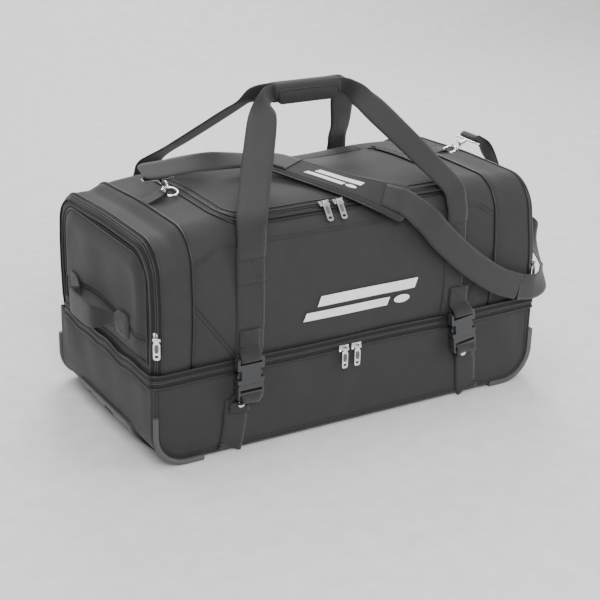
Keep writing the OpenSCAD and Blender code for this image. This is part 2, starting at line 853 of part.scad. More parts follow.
lower_shell();
base_board();
base_skids();
lower_zip_tape();
corner_guards();
wheel_housings();
wheel_axles();
pull_bezel();
tube_sleeves();
lower_webbing();
strap_rivets();
buckle_males();
buckle_arms();
lower_slider(-1);  // lower_slider_left
lower_slider(1);  // lower_slider_right
lower_pull(-1);  // lower_pull_left
lower_pull(1);  // lower_pull_right
about_axle(-wheel_y) tyre();  // tyre_front
about_axle(-wheel_y) hub();  // hub_front
about_axle(-wheel_y) bearings();  // bearings_front
about_axle(wheel_y) tyre();  // tyre_rear
about_axle(wheel_y) hub();  // hub_rear
about_axle(wheel_y) bearings();  // bearings_rear
stage1_tubes();
stage2_tubes();
pull_grip();
pull_button();
upper_shell();
divider_floor();
left_pocket();
right_pocket();
piping_rings();
upper_zip_tape();
main_zip_tape();
body_webbing();
buckle_females();
ring_tabs();
d_rings();
strap_left();
strap_pad();
strap_right();
snap_hooks();
top_slider(-1);  // top_slider_left
top_slider(1);  // top_slider_right
top_pull(-1);  // top_pull_left
top_pull(1);  // top_pull_right
pocket_slider(-1);  // pocket_slider_left
pocket_slider(1);  // pocket_slider_right
pocket_pull(-1);  // pocket_pull_left
pocket_pull(1);  // pocket_pull_right
lid_panel();
front_handle();
rear_handle();
handle_wrap();
left_flap();
right_flap();
left_grab_tabs();
right_grab_tabs();
left_grab_handle();
right_grab_handle();
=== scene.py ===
"""Looks of the hockey equipment bag: cloth, webbing, zips, plastics and metal on the CAD frame. Metres."""
import json
import math

import bpy
import numpy as np
from mathutils import Matrix, Vector


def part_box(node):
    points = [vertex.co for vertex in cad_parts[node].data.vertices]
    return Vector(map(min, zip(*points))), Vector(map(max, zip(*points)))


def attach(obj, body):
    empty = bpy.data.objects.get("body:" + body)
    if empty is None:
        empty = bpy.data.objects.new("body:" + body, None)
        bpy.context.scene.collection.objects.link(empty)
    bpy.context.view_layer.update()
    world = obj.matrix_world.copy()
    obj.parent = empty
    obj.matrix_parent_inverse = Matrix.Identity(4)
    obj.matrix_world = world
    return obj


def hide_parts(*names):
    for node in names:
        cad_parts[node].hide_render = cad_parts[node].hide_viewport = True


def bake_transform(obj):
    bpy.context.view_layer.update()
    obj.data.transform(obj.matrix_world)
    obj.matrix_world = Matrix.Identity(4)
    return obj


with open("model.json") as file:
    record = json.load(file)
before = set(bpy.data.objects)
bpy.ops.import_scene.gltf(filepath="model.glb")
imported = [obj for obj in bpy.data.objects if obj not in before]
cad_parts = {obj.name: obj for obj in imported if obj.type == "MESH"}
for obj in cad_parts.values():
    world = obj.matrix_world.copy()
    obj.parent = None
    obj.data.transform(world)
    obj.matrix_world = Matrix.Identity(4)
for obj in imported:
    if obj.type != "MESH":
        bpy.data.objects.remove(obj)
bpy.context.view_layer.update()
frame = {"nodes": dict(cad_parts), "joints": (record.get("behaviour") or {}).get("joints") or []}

# ---- Main sizes, taken from the frame ----

tub_low, tub_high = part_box("lower_shell")
main_low, main_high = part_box("upper_shell")
lid_low, lid_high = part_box("lid_panel")
flap_low, flap_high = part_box("right_flap")
HALF_L = tub_high[0]
HALF_W = tub_high[1]
SEAM_X = main_high[0]
TUB_TOP = tub_high[2]
TUB_BOTTOM = tub_low[2]
UPPER_BOTTOM = main_low[2]
MAIN_TOP = main_high[2]
ZIP_Z = (TUB_TOP + UPPER_BOTTOM) / 2
EDGE_R = 0.056        # lower edge of the tub at each end
SIDE_R = 0.008        # piped edges of the tub
SHOULDER_R = 0.058    # upper edges of the main compartment
WEB_X = 0.202
LOW_WEB_X = 0.226
WEB_W = 0.050


# ---- Materials ----

class Shader:
    """A small helper that adds nodes to one material."""

    def __init__(self, name, color, rough, metal=0.0):
        self.material = bpy.data.materials.new(name)
        self.material.use_nodes = True
        self.tree = self.material.node_tree
        self.bsdf = self.tree.nodes["Principled BSDF"]
        self.bsdf.inputs["Base Color"].default_value = (*color, 1)
        self.bsdf.inputs["Roughness"].default_value = rough
        self.bsdf.inputs["Metallic"].default_value = metal
        self.coords = self.tree.nodes.new("ShaderNodeTexCoord")

    def node(self, kind, **values):
        made = self.tree.nodes.new(kind)
        for key, value in values.items():
            if key in made.inputs:
                made.inputs[key].default_value = value
            else:
                setattr(made, key, value)
        return made

    def link(self, source, target):
        self.tree.links.new(source, target)

    def noise(self, scale, detail=2.0, space="Object"):
        made = self.node("ShaderNodeTexNoise", Scale=scale, Detail=detail)
        self.link(self.coords.outputs[space], made.inputs["Vector"])
        return made.outputs["Fac"]

    def wave(self, direction, period, distortion=0.0):
        made = self.node("ShaderNodeTexWave", bands_direction=direction, Scale=math.tau / (20 * period),
                         Distortion=distortion)
        self.link(self.coords.outputs["UV"], made.inputs["Vector"])
        return made.outputs["Fac"]

    def math(self, operation, a, b):
        made = self.node("ShaderNodeMath", operation=operation)
        for socket, value in zip(made.inputs, (a, b)):
            if isinstance(value, (int, float)):
                socket.default_value = value
            else:
                self.link(value, socket)
        return made.outputs[0]

    def tint(self, factor, dark, light):
        """Colours the surface between two colours."""
        ramp = self.node("ShaderNodeValToRGB")
        ramp.color_ramp.elements[0].color = (*dark, 1)
        ramp.color_ramp.elements[1].color = (*light, 1)
        self.link(factor, ramp.inputs["Fac"])
        self.link(ramp.outputs["Color"], self.bsdf.inputs["Base Color"])

    def roughen(self, factor, low, high):
        made = self.node("ShaderNodeMapRange")
        made.inputs["To Min"].default_value = low
        made.inputs["To Max"].default_value = high
        self.link(factor, made.inputs["Value"])
        self.link(made.outputs["Result"], self.bsdf.inputs["Roughness"])

    def bump(self, height, distance, strength=1.0):
        made = self.node("ShaderNodeBump", Strength=strength, Distance=distance)
        self.link(height, made.inputs["Height"])
        previous = self.bsdf.inputs["Normal"]
        if previous.is_linked:
            self.link(previous.links[0].from_socket, made.inputs["Normal"])
        self.link(made.outputs["Normal"], previous)


def cloth_material(name, color, thread=0.0009, sheen=0.12):
    """Plain-woven polyester: a fine two-way weave, a soft mottle and a little sheen."""
    s = Shader(name, color, 0.78)
    mottle = s.math("ADD", s.math("MULTIPLY", s.noise(45, 3), 0.6), s.math("MULTIPLY", s.noise(900, 2), 0.4))
    dark = [c * 0.80 for c in color]
    light = [c * 1.22 for c in color]
    s.tint(mottle, dark, light)
    weave = s.math("ADD", s.wave("X", thread), s.wave("Y", thread))
    s.bump(weave, 0.00010, 0.55)
    s.bump(s.noise(140, 3), 0.0006, 0.30)
    s.bsdf.inputs["Sheen Weight"].default_value = sheen
    s.bsdf.inputs["Sheen Roughness"].default_value = 0.45
    s.bsdf.inputs["Specular IOR Level"].default_value = 0.30
    return s.material


def webbing_material(name, color):
    """Ribbed webbing: ribs across the band, thread rows along it."""
    s = Shader(name, color, 0.62)
    ribs = s.wave("X", 0.0024)
    rows = s.wave("Y", 0.0042)
    # The colour is lighter on each rib and darker in the grooves between ribs, which is painted highlight and
    # painted shade. It is mixed with noise for the band's own uneven tone.
    rib_shade_and_mottle = s.math("ADD", s.math("MULTIPLY", ribs, 0.55), s.math("MULTIPLY", s.noise(260, 2), 0.45))
    s.tint(rib_shade_and_mottle, [c * 0.72 for c in color], [c * 1.35 for c in color])
    s.bump(ribs, 0.00050, 0.75)
    s.bump(rows, 0.00012, 0.4)
    s.bsdf.inputs["Sheen Weight"].default_value = 0.15
    s.bsdf.inputs["Specular IOR Level"].default_value = 0.38
    return s.material


def moulded_material(name, color, rough, grain=0.00012, scale=900):
    """Moulded plastic or rubber with a fine grain and faint handling wear."""
    s = Shader(name, color, rough)
    s.tint(s.noise(28, 4), [c * 0.88 for c in color], [c * 1.12 for c in color])
    s.roughen(s.noise(60, 4), rough * 0.85, min(1.0, rough * 1.2))
    s.bump(s.noise(scale, 2), grain, 0.5)
    return s.material


def metal_material(name, color, rough):
    s = Shader(name, color, rough, 1.0)
    s.roughen(s.noise(220, 3), rough * 0.7, rough * 1.5)
    s.bump(s.noise(500, 2), 0.00005, 0.3)
    return s.material


CLOTH = cloth_material("cloth_main", (0.030, 0.029, 0.029))
CLOTH_PAD = cloth_material("cloth_pad", (0.026, 0.0255, 0.0255), 0.0011)
LINING = cloth_material("cloth_lining", (0.040, 0.041, 0.044), 0.0008, 0.1)
WEBBING = webbing_material("webbing_ribbed", (0.016, 0.0162, 0.0162))
ZIP_TAPE = cloth_material("zip_tape", (0.012, 0.012, 0.0125), 0.0007, 0.1)
ZIP_COIL = moulded_material("zip_coil", (0.030, 0.030, 0.031), 0.38)
PIPING = moulded_material("piping_cord", (0.012, 0.012, 0.012), 0.42, 0.00008)
THREAD = moulded_material("sewing_thread", (0.050, 0.050, 0.050), 0.6)
DARK_THREAD = moulded_material("seam_thread", (0.012, 0.012, 0.012), 0.7)
GREY_PLASTIC = moulded_material("grey_plastic", (0.062, 0.065, 0.067), 0.46)
LIGHT_PLASTIC = moulded_material("light_plastic", (0.30, 0.305, 0.31), 0.42)
BLACK_PLASTIC = moulded_material("black_plastic", (0.020, 0.020, 0.021), 0.42)
BUCKLE = moulded_material("buckle_plastic", (0.034, 0.035, 0.037), 0.24, 0.00004)
NICKEL = metal_material("nickel", (0.86, 0.85, 0.83), 0.16)
STEEL = metal_material("steel", (0.58, 0.58, 0.60), 0.28)
TUBE = metal_material("tube_aluminium", (0.62, 0.63, 0.65), 0.30)
RUBBER = moulded_material("tyre_rubber", (0.016, 0.016, 0.016), 0.62)
HUB = moulded_material("hub_plastic", (0.17, 0.17, 0.175), 0.42)
INSERT = moulded_material("pull_insert", (0.10, 0.10, 0.105), 0.55)
PRINT = moulded_material("white_print", (0.86, 0.86, 0.86), 0.55, 0.00006)


# ---- Mesh helpers ----

def settle(x, z):
    """The loaded bag slumps towards the handle end on its right-hand side."""
    along = 0.026 * step(x, 0.10, 0.29) * (1 - step(x, 0.305, 0.362))
    return x - along - 0.010 * step(x, 0.30, 0.365) * step(z, 0.20, 0.36)


SETTLED = ("upper", "lid", "front_handle", "rear_handle", "right_flap")
UPRIGHT = ("strap", "shoulder", "buckle", "grab", "ring")


def place(obj, body, material, replaces=()):
    """Gives a new piece its material, the CAD nodes it stands for and, if it has only one, its body."""
    obj.data.materials.append(material)
    if body in SETTLED and not obj.name.startswith(UPRIGHT):
        co = np.empty(len(obj.data.vertices) * 3)
        obj.data.vertices.foreach_get("co", co)
        co = co.reshape(-1, 3)
        co[:, 0] = settle(co[:, 0], co[:, 2])
        obj.data.vertices.foreach_set("co", co.reshape(-1))
    if body:
        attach(obj, body)
    if replaces:
        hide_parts(*replaces)
    return obj


def mesh_piece(name, points, faces, uv=None, smooth=True):
    """A mesh object from points, faces and one (u, v) in metres for each point."""
    mesh = bpy.data.meshes.new(name)
    mesh.from_pydata([tuple(map(float, p)) for p in points], [], [tuple(map(int, f)) for f in faces])
    if uv is not None:
        layer = mesh.uv_layers.new(name="cloth")
        index = np.empty(len(mesh.loops), dtype=np.int32)
        mesh.loops.foreach_get("vertex_index", index)
        layer.data.foreach_set("uv", np.asarray(uv, dtype=np.float32)[index].ravel())
    if smooth:
        mesh.polygons.foreach_set("use_smooth", [True] * len(mesh.polygons))
    mesh.update()
    obj = bpy.data.objects.new(name, mesh)
    bpy.context.scene.collection.objects.link(obj)
    return obj


def grid_faces(rows, columns, wrap_rows=False, wrap_columns=False):
    last_row, last_column = rows - (not wrap_rows), columns - (not wrap_columns)
    i, j = np.meshgrid(np.arange(last_row), np.arange(last_column), indexing="ij")
    here, ahead = i * columns, (i + 1) % rows * columns
    beside = (j + 1) % columns
    return np.stack([here + j, ahead + j, ahead + beside, here + beside], -1).reshape(-1, 4)


def run_lengths(points, axis):
    """Distance travelled along one axis of a grid of points."""
    steps = np.linalg.norm(np.diff(points, axis=axis), axis=-1)
    zero = np.zeros_like(np.take(steps, [0], axis=axis))
    return np.cumsum(np.concatenate([zero, steps], axis=axis), axis=axis)


def grid_piece(name, points, keep=None, wrap_columns=False):
    """A surface through a grid of points; keep says which faces stay."""
    rows, columns = points.shape[:2]
    faces = grid_faces(rows, columns, False, wrap_columns)
    flat = points.reshape(-1, 3)
    if keep is not None:
        faces = faces[keep(flat[faces].mean(axis=1))]
    uv = np.stack([run_lengths(points, 0), run_lengths(points, 1)], -1).reshape(-1, 2)
    return mesh_piece(name, flat, faces, uv)


def modify(obj, kind, **values):
    made = obj.modifiers.new(kind.lower(), kind)
    for key, value in values.items():
        setattr(made, key, value)
    return made


def thicken(obj, thickness, heart=(0, 0, 0.2)):
    """Gives cloth its thickness; the side that looks away from heart stays where it is."""
    outward = sum(face.normal.dot(face.center - Vector(heart)) * face.area for face in obj.data.polygons)
    if outward < 0:
        obj.data.flip_normals()
    modify(obj, "SOLIDIFY", thickness=thickness, offset=-1.0)
    return obj


def join_meshes(name, parts):
    """One piece from several lists of (points, faces, uv)."""
    points, faces, uvs, base = [], [], [], 0
    for part_points, part_faces, part_uv in parts:
        points.append(np.asarray(part_points, dtype=float).reshape(-1, 3))
        faces += [tuple(int(k) + base for k in face) for face in part_faces]
        uvs.append(np.asarray(part_uv, dtype=float).reshape(-1, 2))
        base += len(points[-1])
    return mesh_piece(name, np.concatenate(points), faces, np.concatenate(uvs))


def travel(path):
    """Distance along a path at each of its points."""
    return np.concatenate([[0], np.cumsum(np.linalg.norm(np.diff(path, axis=0), axis=1))])


def spaced(path, at):
    """The path's points at the given distances along it."""
    length = travel(path)
    return np.stack([np.interp(at, length, column) for column in path.T], 1)


def unit(v):
    v = np.asarray(v, dtype=float)
    return v / np.linalg.norm(v, axis=-1, keepdims=True)


def smooth_path(points, count):
    """Points spaced evenly along a smooth curve through the given ones (Catmull-Rom)."""
    p = np.asarray(points, dtype=float)
    p = np.concatenate([[2 * p[0] - p[1]], p, [2 * p[-1] - p[-2]]])
    out = []
    for k in range(1, len(p) - 2):
        t = np.linspace(0, 1, 24, endpoint=False)[:, None]
        a, b, c, d = p[k - 1], p[k], p[k + 1], p[k + 2]
        out.append(0.5 * (2 * b + (c - a) * t + (2 * a - 5 * b + 4 * c - d) * t ** 2
                          + (3 * b - a - 3 * c + d) * t ** 3))
    out = np.concatenate(out + [p[-2:-1]])
    length = travel(out[:, :3])
    at = np.linspace(0, length[-1], count)
    return np.stack([np.interp(at, length, out[:, k]) for k in range(out.shape[1])], axis=1)


def tube_part(path, radius, sides=8, closed=False):
    """A round cord along a path; returned as (points, faces, uv)."""
    path = np.asarray(path, dtype=float)
    ahead = np.roll(path, -1, 0) - np.roll(path, 1, 0)
    if not closed:
        ahead[0], ahead[-1] = path[1] - path[0], path[-1] - path[-2]
    ahead = unit(ahead)
    normals = [unit(np.cross(ahead[0], [0.31, 0.17, 0.93]))]
    for k in range(1, len(path)):
        n = normals[-1] - ahead[k] * np.dot(normals[-1], ahead[k])
        normals.append(unit(n))
    normals = np.array(normals)
    side = np.cross(ahead, normals)
    angle = np.linspace(0, math.tau, sides, endpoint=False)
    ring = (path[:, None] + radius * (np.cos(angle)[None, :, None] * normals[:, None]
                                      + np.sin(angle)[None, :, None] * side[:, None]))
    faces = [tuple(f) for f in grid_faces(len(path), sides, closed, True)]
    if not closed:
        faces.append(tuple(range(sides))[::-1])
        faces.append(tuple((len(path) - 1) * sides + k for k in range(sides)))
    along = travel(path)
    uv = np.stack(np.broadcast_arrays(along[:, None], angle[None, :] * radius), -1)
    return ring.reshape(-1, 3), faces, uv.reshape(-1, 2)


def band_part(path, across, width, thickness, closed=False):
    """Flat webbing along a path: a rectangle with rounded edges, swept."""
    path = np.asarray(path, dtype=float)
    across = np.asarray(across, dtype=float)
    ahead = np.gradient(path, axis=0)
    ahead = unit(ahead)
    across = unit(across - ahead * np.sum(across * ahead, axis=1, keepdims=True))
    normal = np.cross(ahead, across)
    width = np.broadcast_to(np.asarray(width, dtype=float), (len(path),))
    half_t = thickness / 2
    columns = 9
    spread = np.linspace(-1, 1, columns)
    outline = [(a, half_t * math.sqrt(1 - max(0.0, (abs(a) - 0.92) / 0.08) ** 2 * 0.9)) for a in spread]
    outline += [(a, -t) for a, t in reversed(outline)]
    a = np.array([o[0] for o in outline])
    t = np.array([o[1] for o in outline])
    ring = (path[:, None] + across[:, None] * (a[None, :, None] * width[:, None, None] / 2)
            + normal[:, None] * t[None, :, None])
    count = len(outline)
    faces = [tuple(f) for f in grid_faces(len(path), count, closed, True)]
    if not closed:
        for base in (0, (len(path) - 1) * count):
            cap = [(base + k, base + k + 1, base + count - 2 - k, base + count - 1 - k)
                   for k in range(columns - 1)]
            faces += cap if base else [face[::-1] for face in cap]
    along = travel(path)
    uv = np.stack(np.broadcast_arrays(along[:, None], a[None, :] * width.mean() / 2), -1)
    return ring.reshape(-1, 3), faces, uv.reshape(-1, 2)


def stitch_parts(path, normal, pitch=0.0042, length=0.0027, radius=0.00042):
    """Stitches along a path, each a short raised thread."""
    path = np.asarray(path, dtype=float)
    total = travel(path)
    normal = np.broadcast_to(np.asarray(normal, dtype=float), path.shape)
    parts = []
    for start in np.arange(pitch / 2, total[-1] - length, pitch):
        at = start + length * np.array([0, 0.5, 1])
        line = spaced(path, at)
        up = np.stack([np.interp(at, total, normal[:, k]) for k in range(3)], 1)
        line += up * np.array([[-0.3], [0.6], [-0.3]]) * radius
        parts.append(tube_part(line, radius, 5))
    return parts


def stitches(name, body, runs, material=THREAD, **sizes):
    """One piece that holds every stitch of several seams; each seam is (path, outward normal)."""
    parts = []
    for path, normal in runs:
        parts += stitch_parts(path, normal, **sizes)
    return place(join_meshes(name, parts), body, material)


def ripple(a, b, wavelength, seed):
    """Smooth, repeatable unevenness between about -1 and 1."""
    local = np.random.default_rng(seed)
    total = np.zeros(np.broadcast(a, b).shape)
    for _ in range(7):
        angle = local.uniform(0, math.tau)
        k = math.tau / (wavelength * local.uniform(0.6, 1.7))
        total += np.sin(k * (a * math.cos(angle) + b * math.sin(angle)) + local.uniform(0, math.tau))
    return total / 4.0


def step(x, low, high):
    t = np.clip((np.asarray(x, dtype=float) - low) / (high - low), 0, 1)
    return t * t * (3 - 2 * t)


def segment_distance(x, z, a, b):
    """Distance from points in a plane to a straight seam."""
    ax, az = a
    dx, dz = b[0] - ax, b[1] - az
    t = np.clip(((x - ax) * dx + (z - az) * dz) / (dx * dx + dz * dz), 0, 1)
    return np.hypot(x - ax - t * dx, z - az - t * dz)


# ---- The camera, at the photograph's angle ----

def make_camera():
    data = bpy.data.cameras.new("camera")
    data.sensor_width = 36
    data.lens = 87.0
    data.clip_end = 30
    camera = bpy.data.objects.new("camera", data)
    turn, rise, roll = (math.radians(v) for v in (-31.238, 21.825, 1.474))
    back = Vector((math.sin(turn) * math.cos(rise), -math.cos(turn) * math.cos(rise), math.sin(rise)))
    right = Vector((math.cos(turn), math.sin(turn), 0))
    up = back.cross(right)
    tilted_right = right * math.cos(roll) + up * math.sin(roll)
    tilted_up = back.cross(tilted_right)
    rotation = Matrix((tilted_right, tilted_up, back)).transposed().to_4x4()
    camera.matrix_world = Matrix.Translation((-1.2168, -2.0099, 1.0931)) @ rotation
    bpy.context.scene.collection.objects.link(camera)
    bpy.context.scene.camera = camera


make_camera()


# ---- The bag's outline, as formulas shared by cloth, seams, zips and webbing ----

def tub_edge_z(x):
    """Height of the tub's lower edge along the front and rear."""
    reach = np.clip(np.abs(x) - (HALF_L - EDGE_R), 0, EDGE_R)
    return TUB_BOTTOM + EDGE_R - np.sqrt(np.maximum(EDGE_R ** 2 - reach ** 2, 0))


def tub_side(x, z):
    """Distance of the tub's front or rear cloth from the bag's middle."""
    corner_x = np.abs(x) - (HALF_L - EDGE_R)
    corner_z = (TUB_BOTTOM + EDGE_R) - z
    round_part = EDGE_R - np.hypot(np.maximum(corner_x, 0), np.maximum(corner_z, 0))
    inside = np.minimum(np.minimum(HALF_L - np.abs(x), z - TUB_BOTTOM), round_part)
    inside = np.clip(inside, 0, None)
    edge = SIDE_R - np.sqrt(np.maximum(SIDE_R ** 2 - (SIDE_R - np.minimum(inside, SIDE_R)) ** 2, 0))
    fullness = 0.0018 * step(inside, 0.006, 0.05) + 0.0012 * ripple(x, z, 0.11, 3) * step(inside, 0.01, 0.04)
    return HALF_W - 0.0015 - edge + fullness


def upper_width(x):
    """Half width of the upper bag: it is pinched by the piping and fuller between the seams."""
    ax = np.abs(x)
    main = 0.0035 * np.sqrt(np.clip(1 - (ax / SEAM_X) ** 2, 0, 1))
    pocket = 0.0030 * np.sin(np.clip((ax - SEAM_X) / (HALF_L - SEAM_X), 0, 1) * math.pi)
    return HALF_W - 0.0035 + np.where(ax < SEAM_X, main, pocket)


LEFT_DROP, RIGHT_DROP = 0.021, 0.010      # how far each end pocket sags below the main compartment


def upper_top(x):
    """Height of the upper bag's shoulder line."""
    ax = np.abs(x)
    drop = np.where(x < 0, LEFT_DROP, RIGHT_DROP)
    end = np.clip((ax - SEAM_X) / (HALF_L - SEAM_X), 0, 1)
    main = MAIN_TOP - 0.4 * drop * np.clip((ax - 0.17) / (SEAM_X - 0.17), 0, 1) ** 2
    pocket = MAIN_TOP - 0.4 * drop - 0.6 * drop * step(end, 0.0, 0.4) + 0.003 * np.sin(end * math.pi)
    return np.where(ax < SEAM_X, main, pocket)


def crown(x, y):
    """How far the top stands above its flat outline: it is fullest at the front and sags to the rear."""
    ax = np.abs(x)
    along = np.where(ax < SEAM_X, 1 - (ax / SEAM_X) ** 2, 0.10)
    full = 0.003 * along * np.clip(1 - (y / 0.150) ** 2, 0, 1)
    slack = 0.007 + 0.009 * np.exp(-((x - 0.04) / 0.15) ** 2)
    return full - slack * step(y, -0.02, 0.145)


FRONT_SEAMS = [((-0.300, 0.262), (-0.222, 0.158)), ((0.300, 0.262), (0.222, 0.158)),
               ((-0.300, 0.322), (-0.256, 0.350)), ((0.300, 0.322), (0.256, 0.350)),
               ((-0.256, 0.350), (0.256, 0.350))]


def upper_side(x, z, front=True):
    """Distance of the upper bag's front or rear cloth from the bag's middle, below the shoulder."""
    middle = step(z, UPPER_BOTTOM, 0.24) * (1 - step(z, 0.26, 0.33))
    out = upper_width(x) + 0.0045 * middle - 0.0045 * (1 - step(z, UPPER_BOTTOM, UPPER_BOTTOM + 0.02))
    near_seam = step(SEAM_X - np.abs(x), 0.0, 0.05)
    out = out + 0.0016 * ripple(x, z * 0.7, 0.12, 11 if front else 12) * near_seam
    if front:
        for a, b in FRONT_SEAMS:
            out = out - 0.0014 * np.exp(-(segment_distance(x, z, a, b) / 0.0035) ** 2)
    return out


def profile(x, count=150):
    """The upper bag's cross-section at x, from the front zip over the top to the rear, as (y, z) rows."""
    top = float(upper_top(x))
    r, low = SHOULDER_R, UPPER_BOTTOM
    side, arc, flat = top - r - low, r * math.pi / 2, 2 * (HALF_W - r)
    total = 2 * side + 2 * arc + flat
    s = np.linspace(0, total, count)
    back = s > total / 2
    e = np.where(back, total - s, s)
    z_side = low + np.minimum(e, side)
    width = np.where(back, upper_side(x, z_side, False), upper_side(x, z_side, True))
    angle = np.clip((e - side) / r, 0, math.pi / 2)
    past = np.clip(e - side - arc, 0, None)
    y = -width + r * (1 - np.cos(angle))
    y = np.where(past > 0, y * (1 - past / (flat / 2)), y)
    z = z_side + r * np.sin(angle)
    y = np.where(back, -y, y)
    return y, z + crown(x, y) * step(z, top - 2 * r, top)


def skin_z(x, y):
    """Height of the upper bag's top at one place."""
    py, pz = profile(x)
    keep = pz > float(upper_top(x)) - SHOULDER_R
    order = np.argsort(py[keep])
    return float(np.interp(y, py[keep][order], pz[keep][order]))


def front_point(x, z, out=0.0):
    """A point on the upper bag's front, lifted by out."""
    return np.array([x, -float(upper_side(x, z)) - out, z])


# ---- Tub ----

def tub_panel(name, side):
    """The flat front or rear of the tub, with rounded lower corners."""
    columns, rows = 190, 46
    x = HALF_L * np.sin(np.linspace(-1, 1, columns) * math.pi / 2 * 0.985) / math.sin(math.pi / 2 * 0.985)
    t = np.linspace(0, 1, rows) ** 1.35
    low = tub_edge_z(x)
    z = low[:, None] + (TUB_TOP - low)[:, None] * t[None, :]
    grid_x = np.broadcast_to(x[:, None], z.shape)
    y = side * tub_side(grid_x, z)
    points = np.stack([grid_x, y, z], -1)
    return thicken(grid_piece(name, points), 0.003)


def tub_outline(count, depth=0.0):
    """The tub's lower outline in the X-Z plane, from the left rim round the bottom to the right rim."""
    straight = TUB_TOP - TUB_BOTTOM - EDGE_R
    arc = EDGE_R * math.pi / 2
    flat = 2 * (HALF_L - EDGE_R)
    s = np.linspace(0, 2 * straight + 2 * arc + flat, count)
    rows = []
    for d in s:
        mirror = d > straight + arc + flat / 2
        e = s[-1] - d if mirror else d
        if e < straight:
            x, z, nx, nz = -HALF_L, TUB_TOP - e, -1.0, 0.0
        elif e < straight + arc:
            a = (e - straight) / EDGE_R
            nx, nz = -math.cos(a), -math.sin(a)
            x, z = -HALF_L + EDGE_R + EDGE_R * nx, TUB_BOTTOM + EDGE_R + EDGE_R * nz
        else:
            x, z, nx, nz = -HALF_L + EDGE_R + e - straight - arc, TUB_BOTTOM, 0.0, -1.0
        sign = -1 if mirror else 1
        rows.append((sign * x - sign * nx * depth, z - nz * depth, sign * nx, nz))
    return np.array(rows)


def tub_gusset():
    """The strip of cloth that forms both ends and the bottom of the tub."""
    outline = tub_outline(230)
    across = (HALF_W - SIDE_R + 0.0005) * np.sin(np.linspace(-1, 1, 90) * math.pi / 2)
    x = np.broadcast_to(outline[:, None, 0], (230, 90))
    y = np.broadcast_to(across[None, :], (230, 90))
    z = np.broadcast_to(outline[:, None, 1], (230, 90))
    on_end = step(z, 0.05, 0.09) * step(TUB_TOP - z, 0.0, 0.02) * step(HALF_W - SIDE_R - np.abs(y), 0.0, 0.03)
    puff = on_end * (0.0015 + 0.0016 * ripple(y, z, 0.12, 21))
    points = np.stack([x + puff * outline[:, None, 2], y, z + 0 * y], -1)

    def keep(centre):
        mouth = (centre[:, 0] < -0.30) & (np.abs(centre[:, 1]) < 0.0745) & (centre[:, 2] < 0.0345)
        well = (centre[:, 0] > 0.287) & (np.abs(centre[:, 1]) > 0.131) & (centre[:, 2] < 0.095)
        return ~(mouth | well)

    return thicken(grid_piece("tub_gusset", points, keep), 0.003)


def panel_edge_path(side, inset, start=0.0, end=1.0, out=0.0):
    """A line that follows the edge of the tub's front or rear panel, inset from the outline."""
    outline = tub_outline(360, inset)
    first, last = int(start * 359), int(end * 359) + 1
    rows = outline[first:last]
    y = side * (tub_side(rows[:, 0], np.maximum(rows[:, 1], TUB_BOTTOM)) + out)
    return np.stack([rows[:, 0], y, rows[:, 1]], -1)


def build_tub():
    panel = tub_panel("tub_front_panel", -1)
    place(panel, "tub", CLOTH, ["lower_shell"])
    place(tub_panel("tub_rear_panel", 1), "tub", CLOTH, ["lower_shell"])
    place(tub_gusset(), "tub", CLOTH, ["lower_shell"])
    cords = [tube_part(panel_edge_path(side, 0.004, 0.0, 1.0, 0.0005), 0.0022) for side in (-1, 1)]
    place(join_meshes("tub_piping", cords), "tub", PIPING)
    seams = []
    for side in (-1, 1):
        path = panel_edge_path(side, 0.0115, 0.0, 1.0, 0.0003)
        seams.append((path, (0, side, 0)))
    stitches("tub_seam_stitches", "tub", seams, DARK_THREAD)


# ---- Upper bag ----

LID_R = 0.040
HOLE = (lid_low[0], lid_high[0], lid_low[1], lid_high[1])


def rounded_distance(x, y, x0, x1, y0, y1, r):
    """Distance outside a rounded rectangle; negative inside."""
    cx, cy = (x0 + x1) / 2, (y0 + y1) / 2
    qx = np.abs(x - cx) - (x1 - x0) / 2 + r
    qy = np.abs(y - cy) - (y1 - y0) / 2 + r
    return np.hypot(np.maximum(qx, 0), np.maximum(qy, 0)) + np.minimum(np.maximum(qx, qy), 0) - r


def lid_outline(grow, count=220, start=0.0, end=1.0):
    """Points round the lid's outline, grown outwards; it starts and ends at the middle of the rear."""
    x0, x1, y0, y1 = HOLE
    r = LID_R + grow
    x0, x1, y0, y1 = x0 - grow, x1 + grow, y0 - grow, y1 + grow
    corners = [(x1 - r, y1 - r, 90, 0), (x1 - r, y0 + r, 0, -90),
               (x0 + r, y0 + r, -90, -180), (x0 + r, y1 - r, 180, 90)]
    line = [(0.0, y1)]
    for cx, cy, a0, a1 in corners:
        for a in np.radians(np.linspace(a0, a1, 24)):
            line.append((cx + r * math.cos(a), cy + r * math.sin(a)))
    line.append((0.0, y1))
    line = np.array(line)
    total = travel(line)[-1]
    return spaced(line, np.linspace(start * total, end * total, count))


def upper_skin(name, stations, hole=False):
    rows = []
    for x in stations:
        y, z = profile(x)
        rows.append(np.stack([np.full_like(y, x), y, z], 1))
    points = np.array(rows)
    keep = None
    if hole:
        px, py, pz = points[..., 0], points[..., 1], points[..., 2]
        top = pz > MAIN_TOP - SHOULDER_R
        d = rounded_distance(px, py, *HOLE, LID_R)
        step_x = 1e-4
        gx = (rounded_distance(px + step_x, py, *HOLE, LID_R) - d) / step_x
        gy = (rounded_distance(px, py + step_x, *HOLE, LID_R) - d) / step_x
        near = top & (np.abs(d) < 0.0028)
        px = np.where(near, px - gx * d, px)
        py = np.where(near, py - gy * d, py)
        points = np.stack([px, py, pz], -1)

        def keep(centre):
            return ~((centre[:, 2] > MAIN_TOP - SHOULDER_R)
                     & (rounded_distance(centre[:, 0], centre[:, 1], *HOLE, LID_R) < 0))
    return thicken(grid_piece(name, points, keep), 0.003)


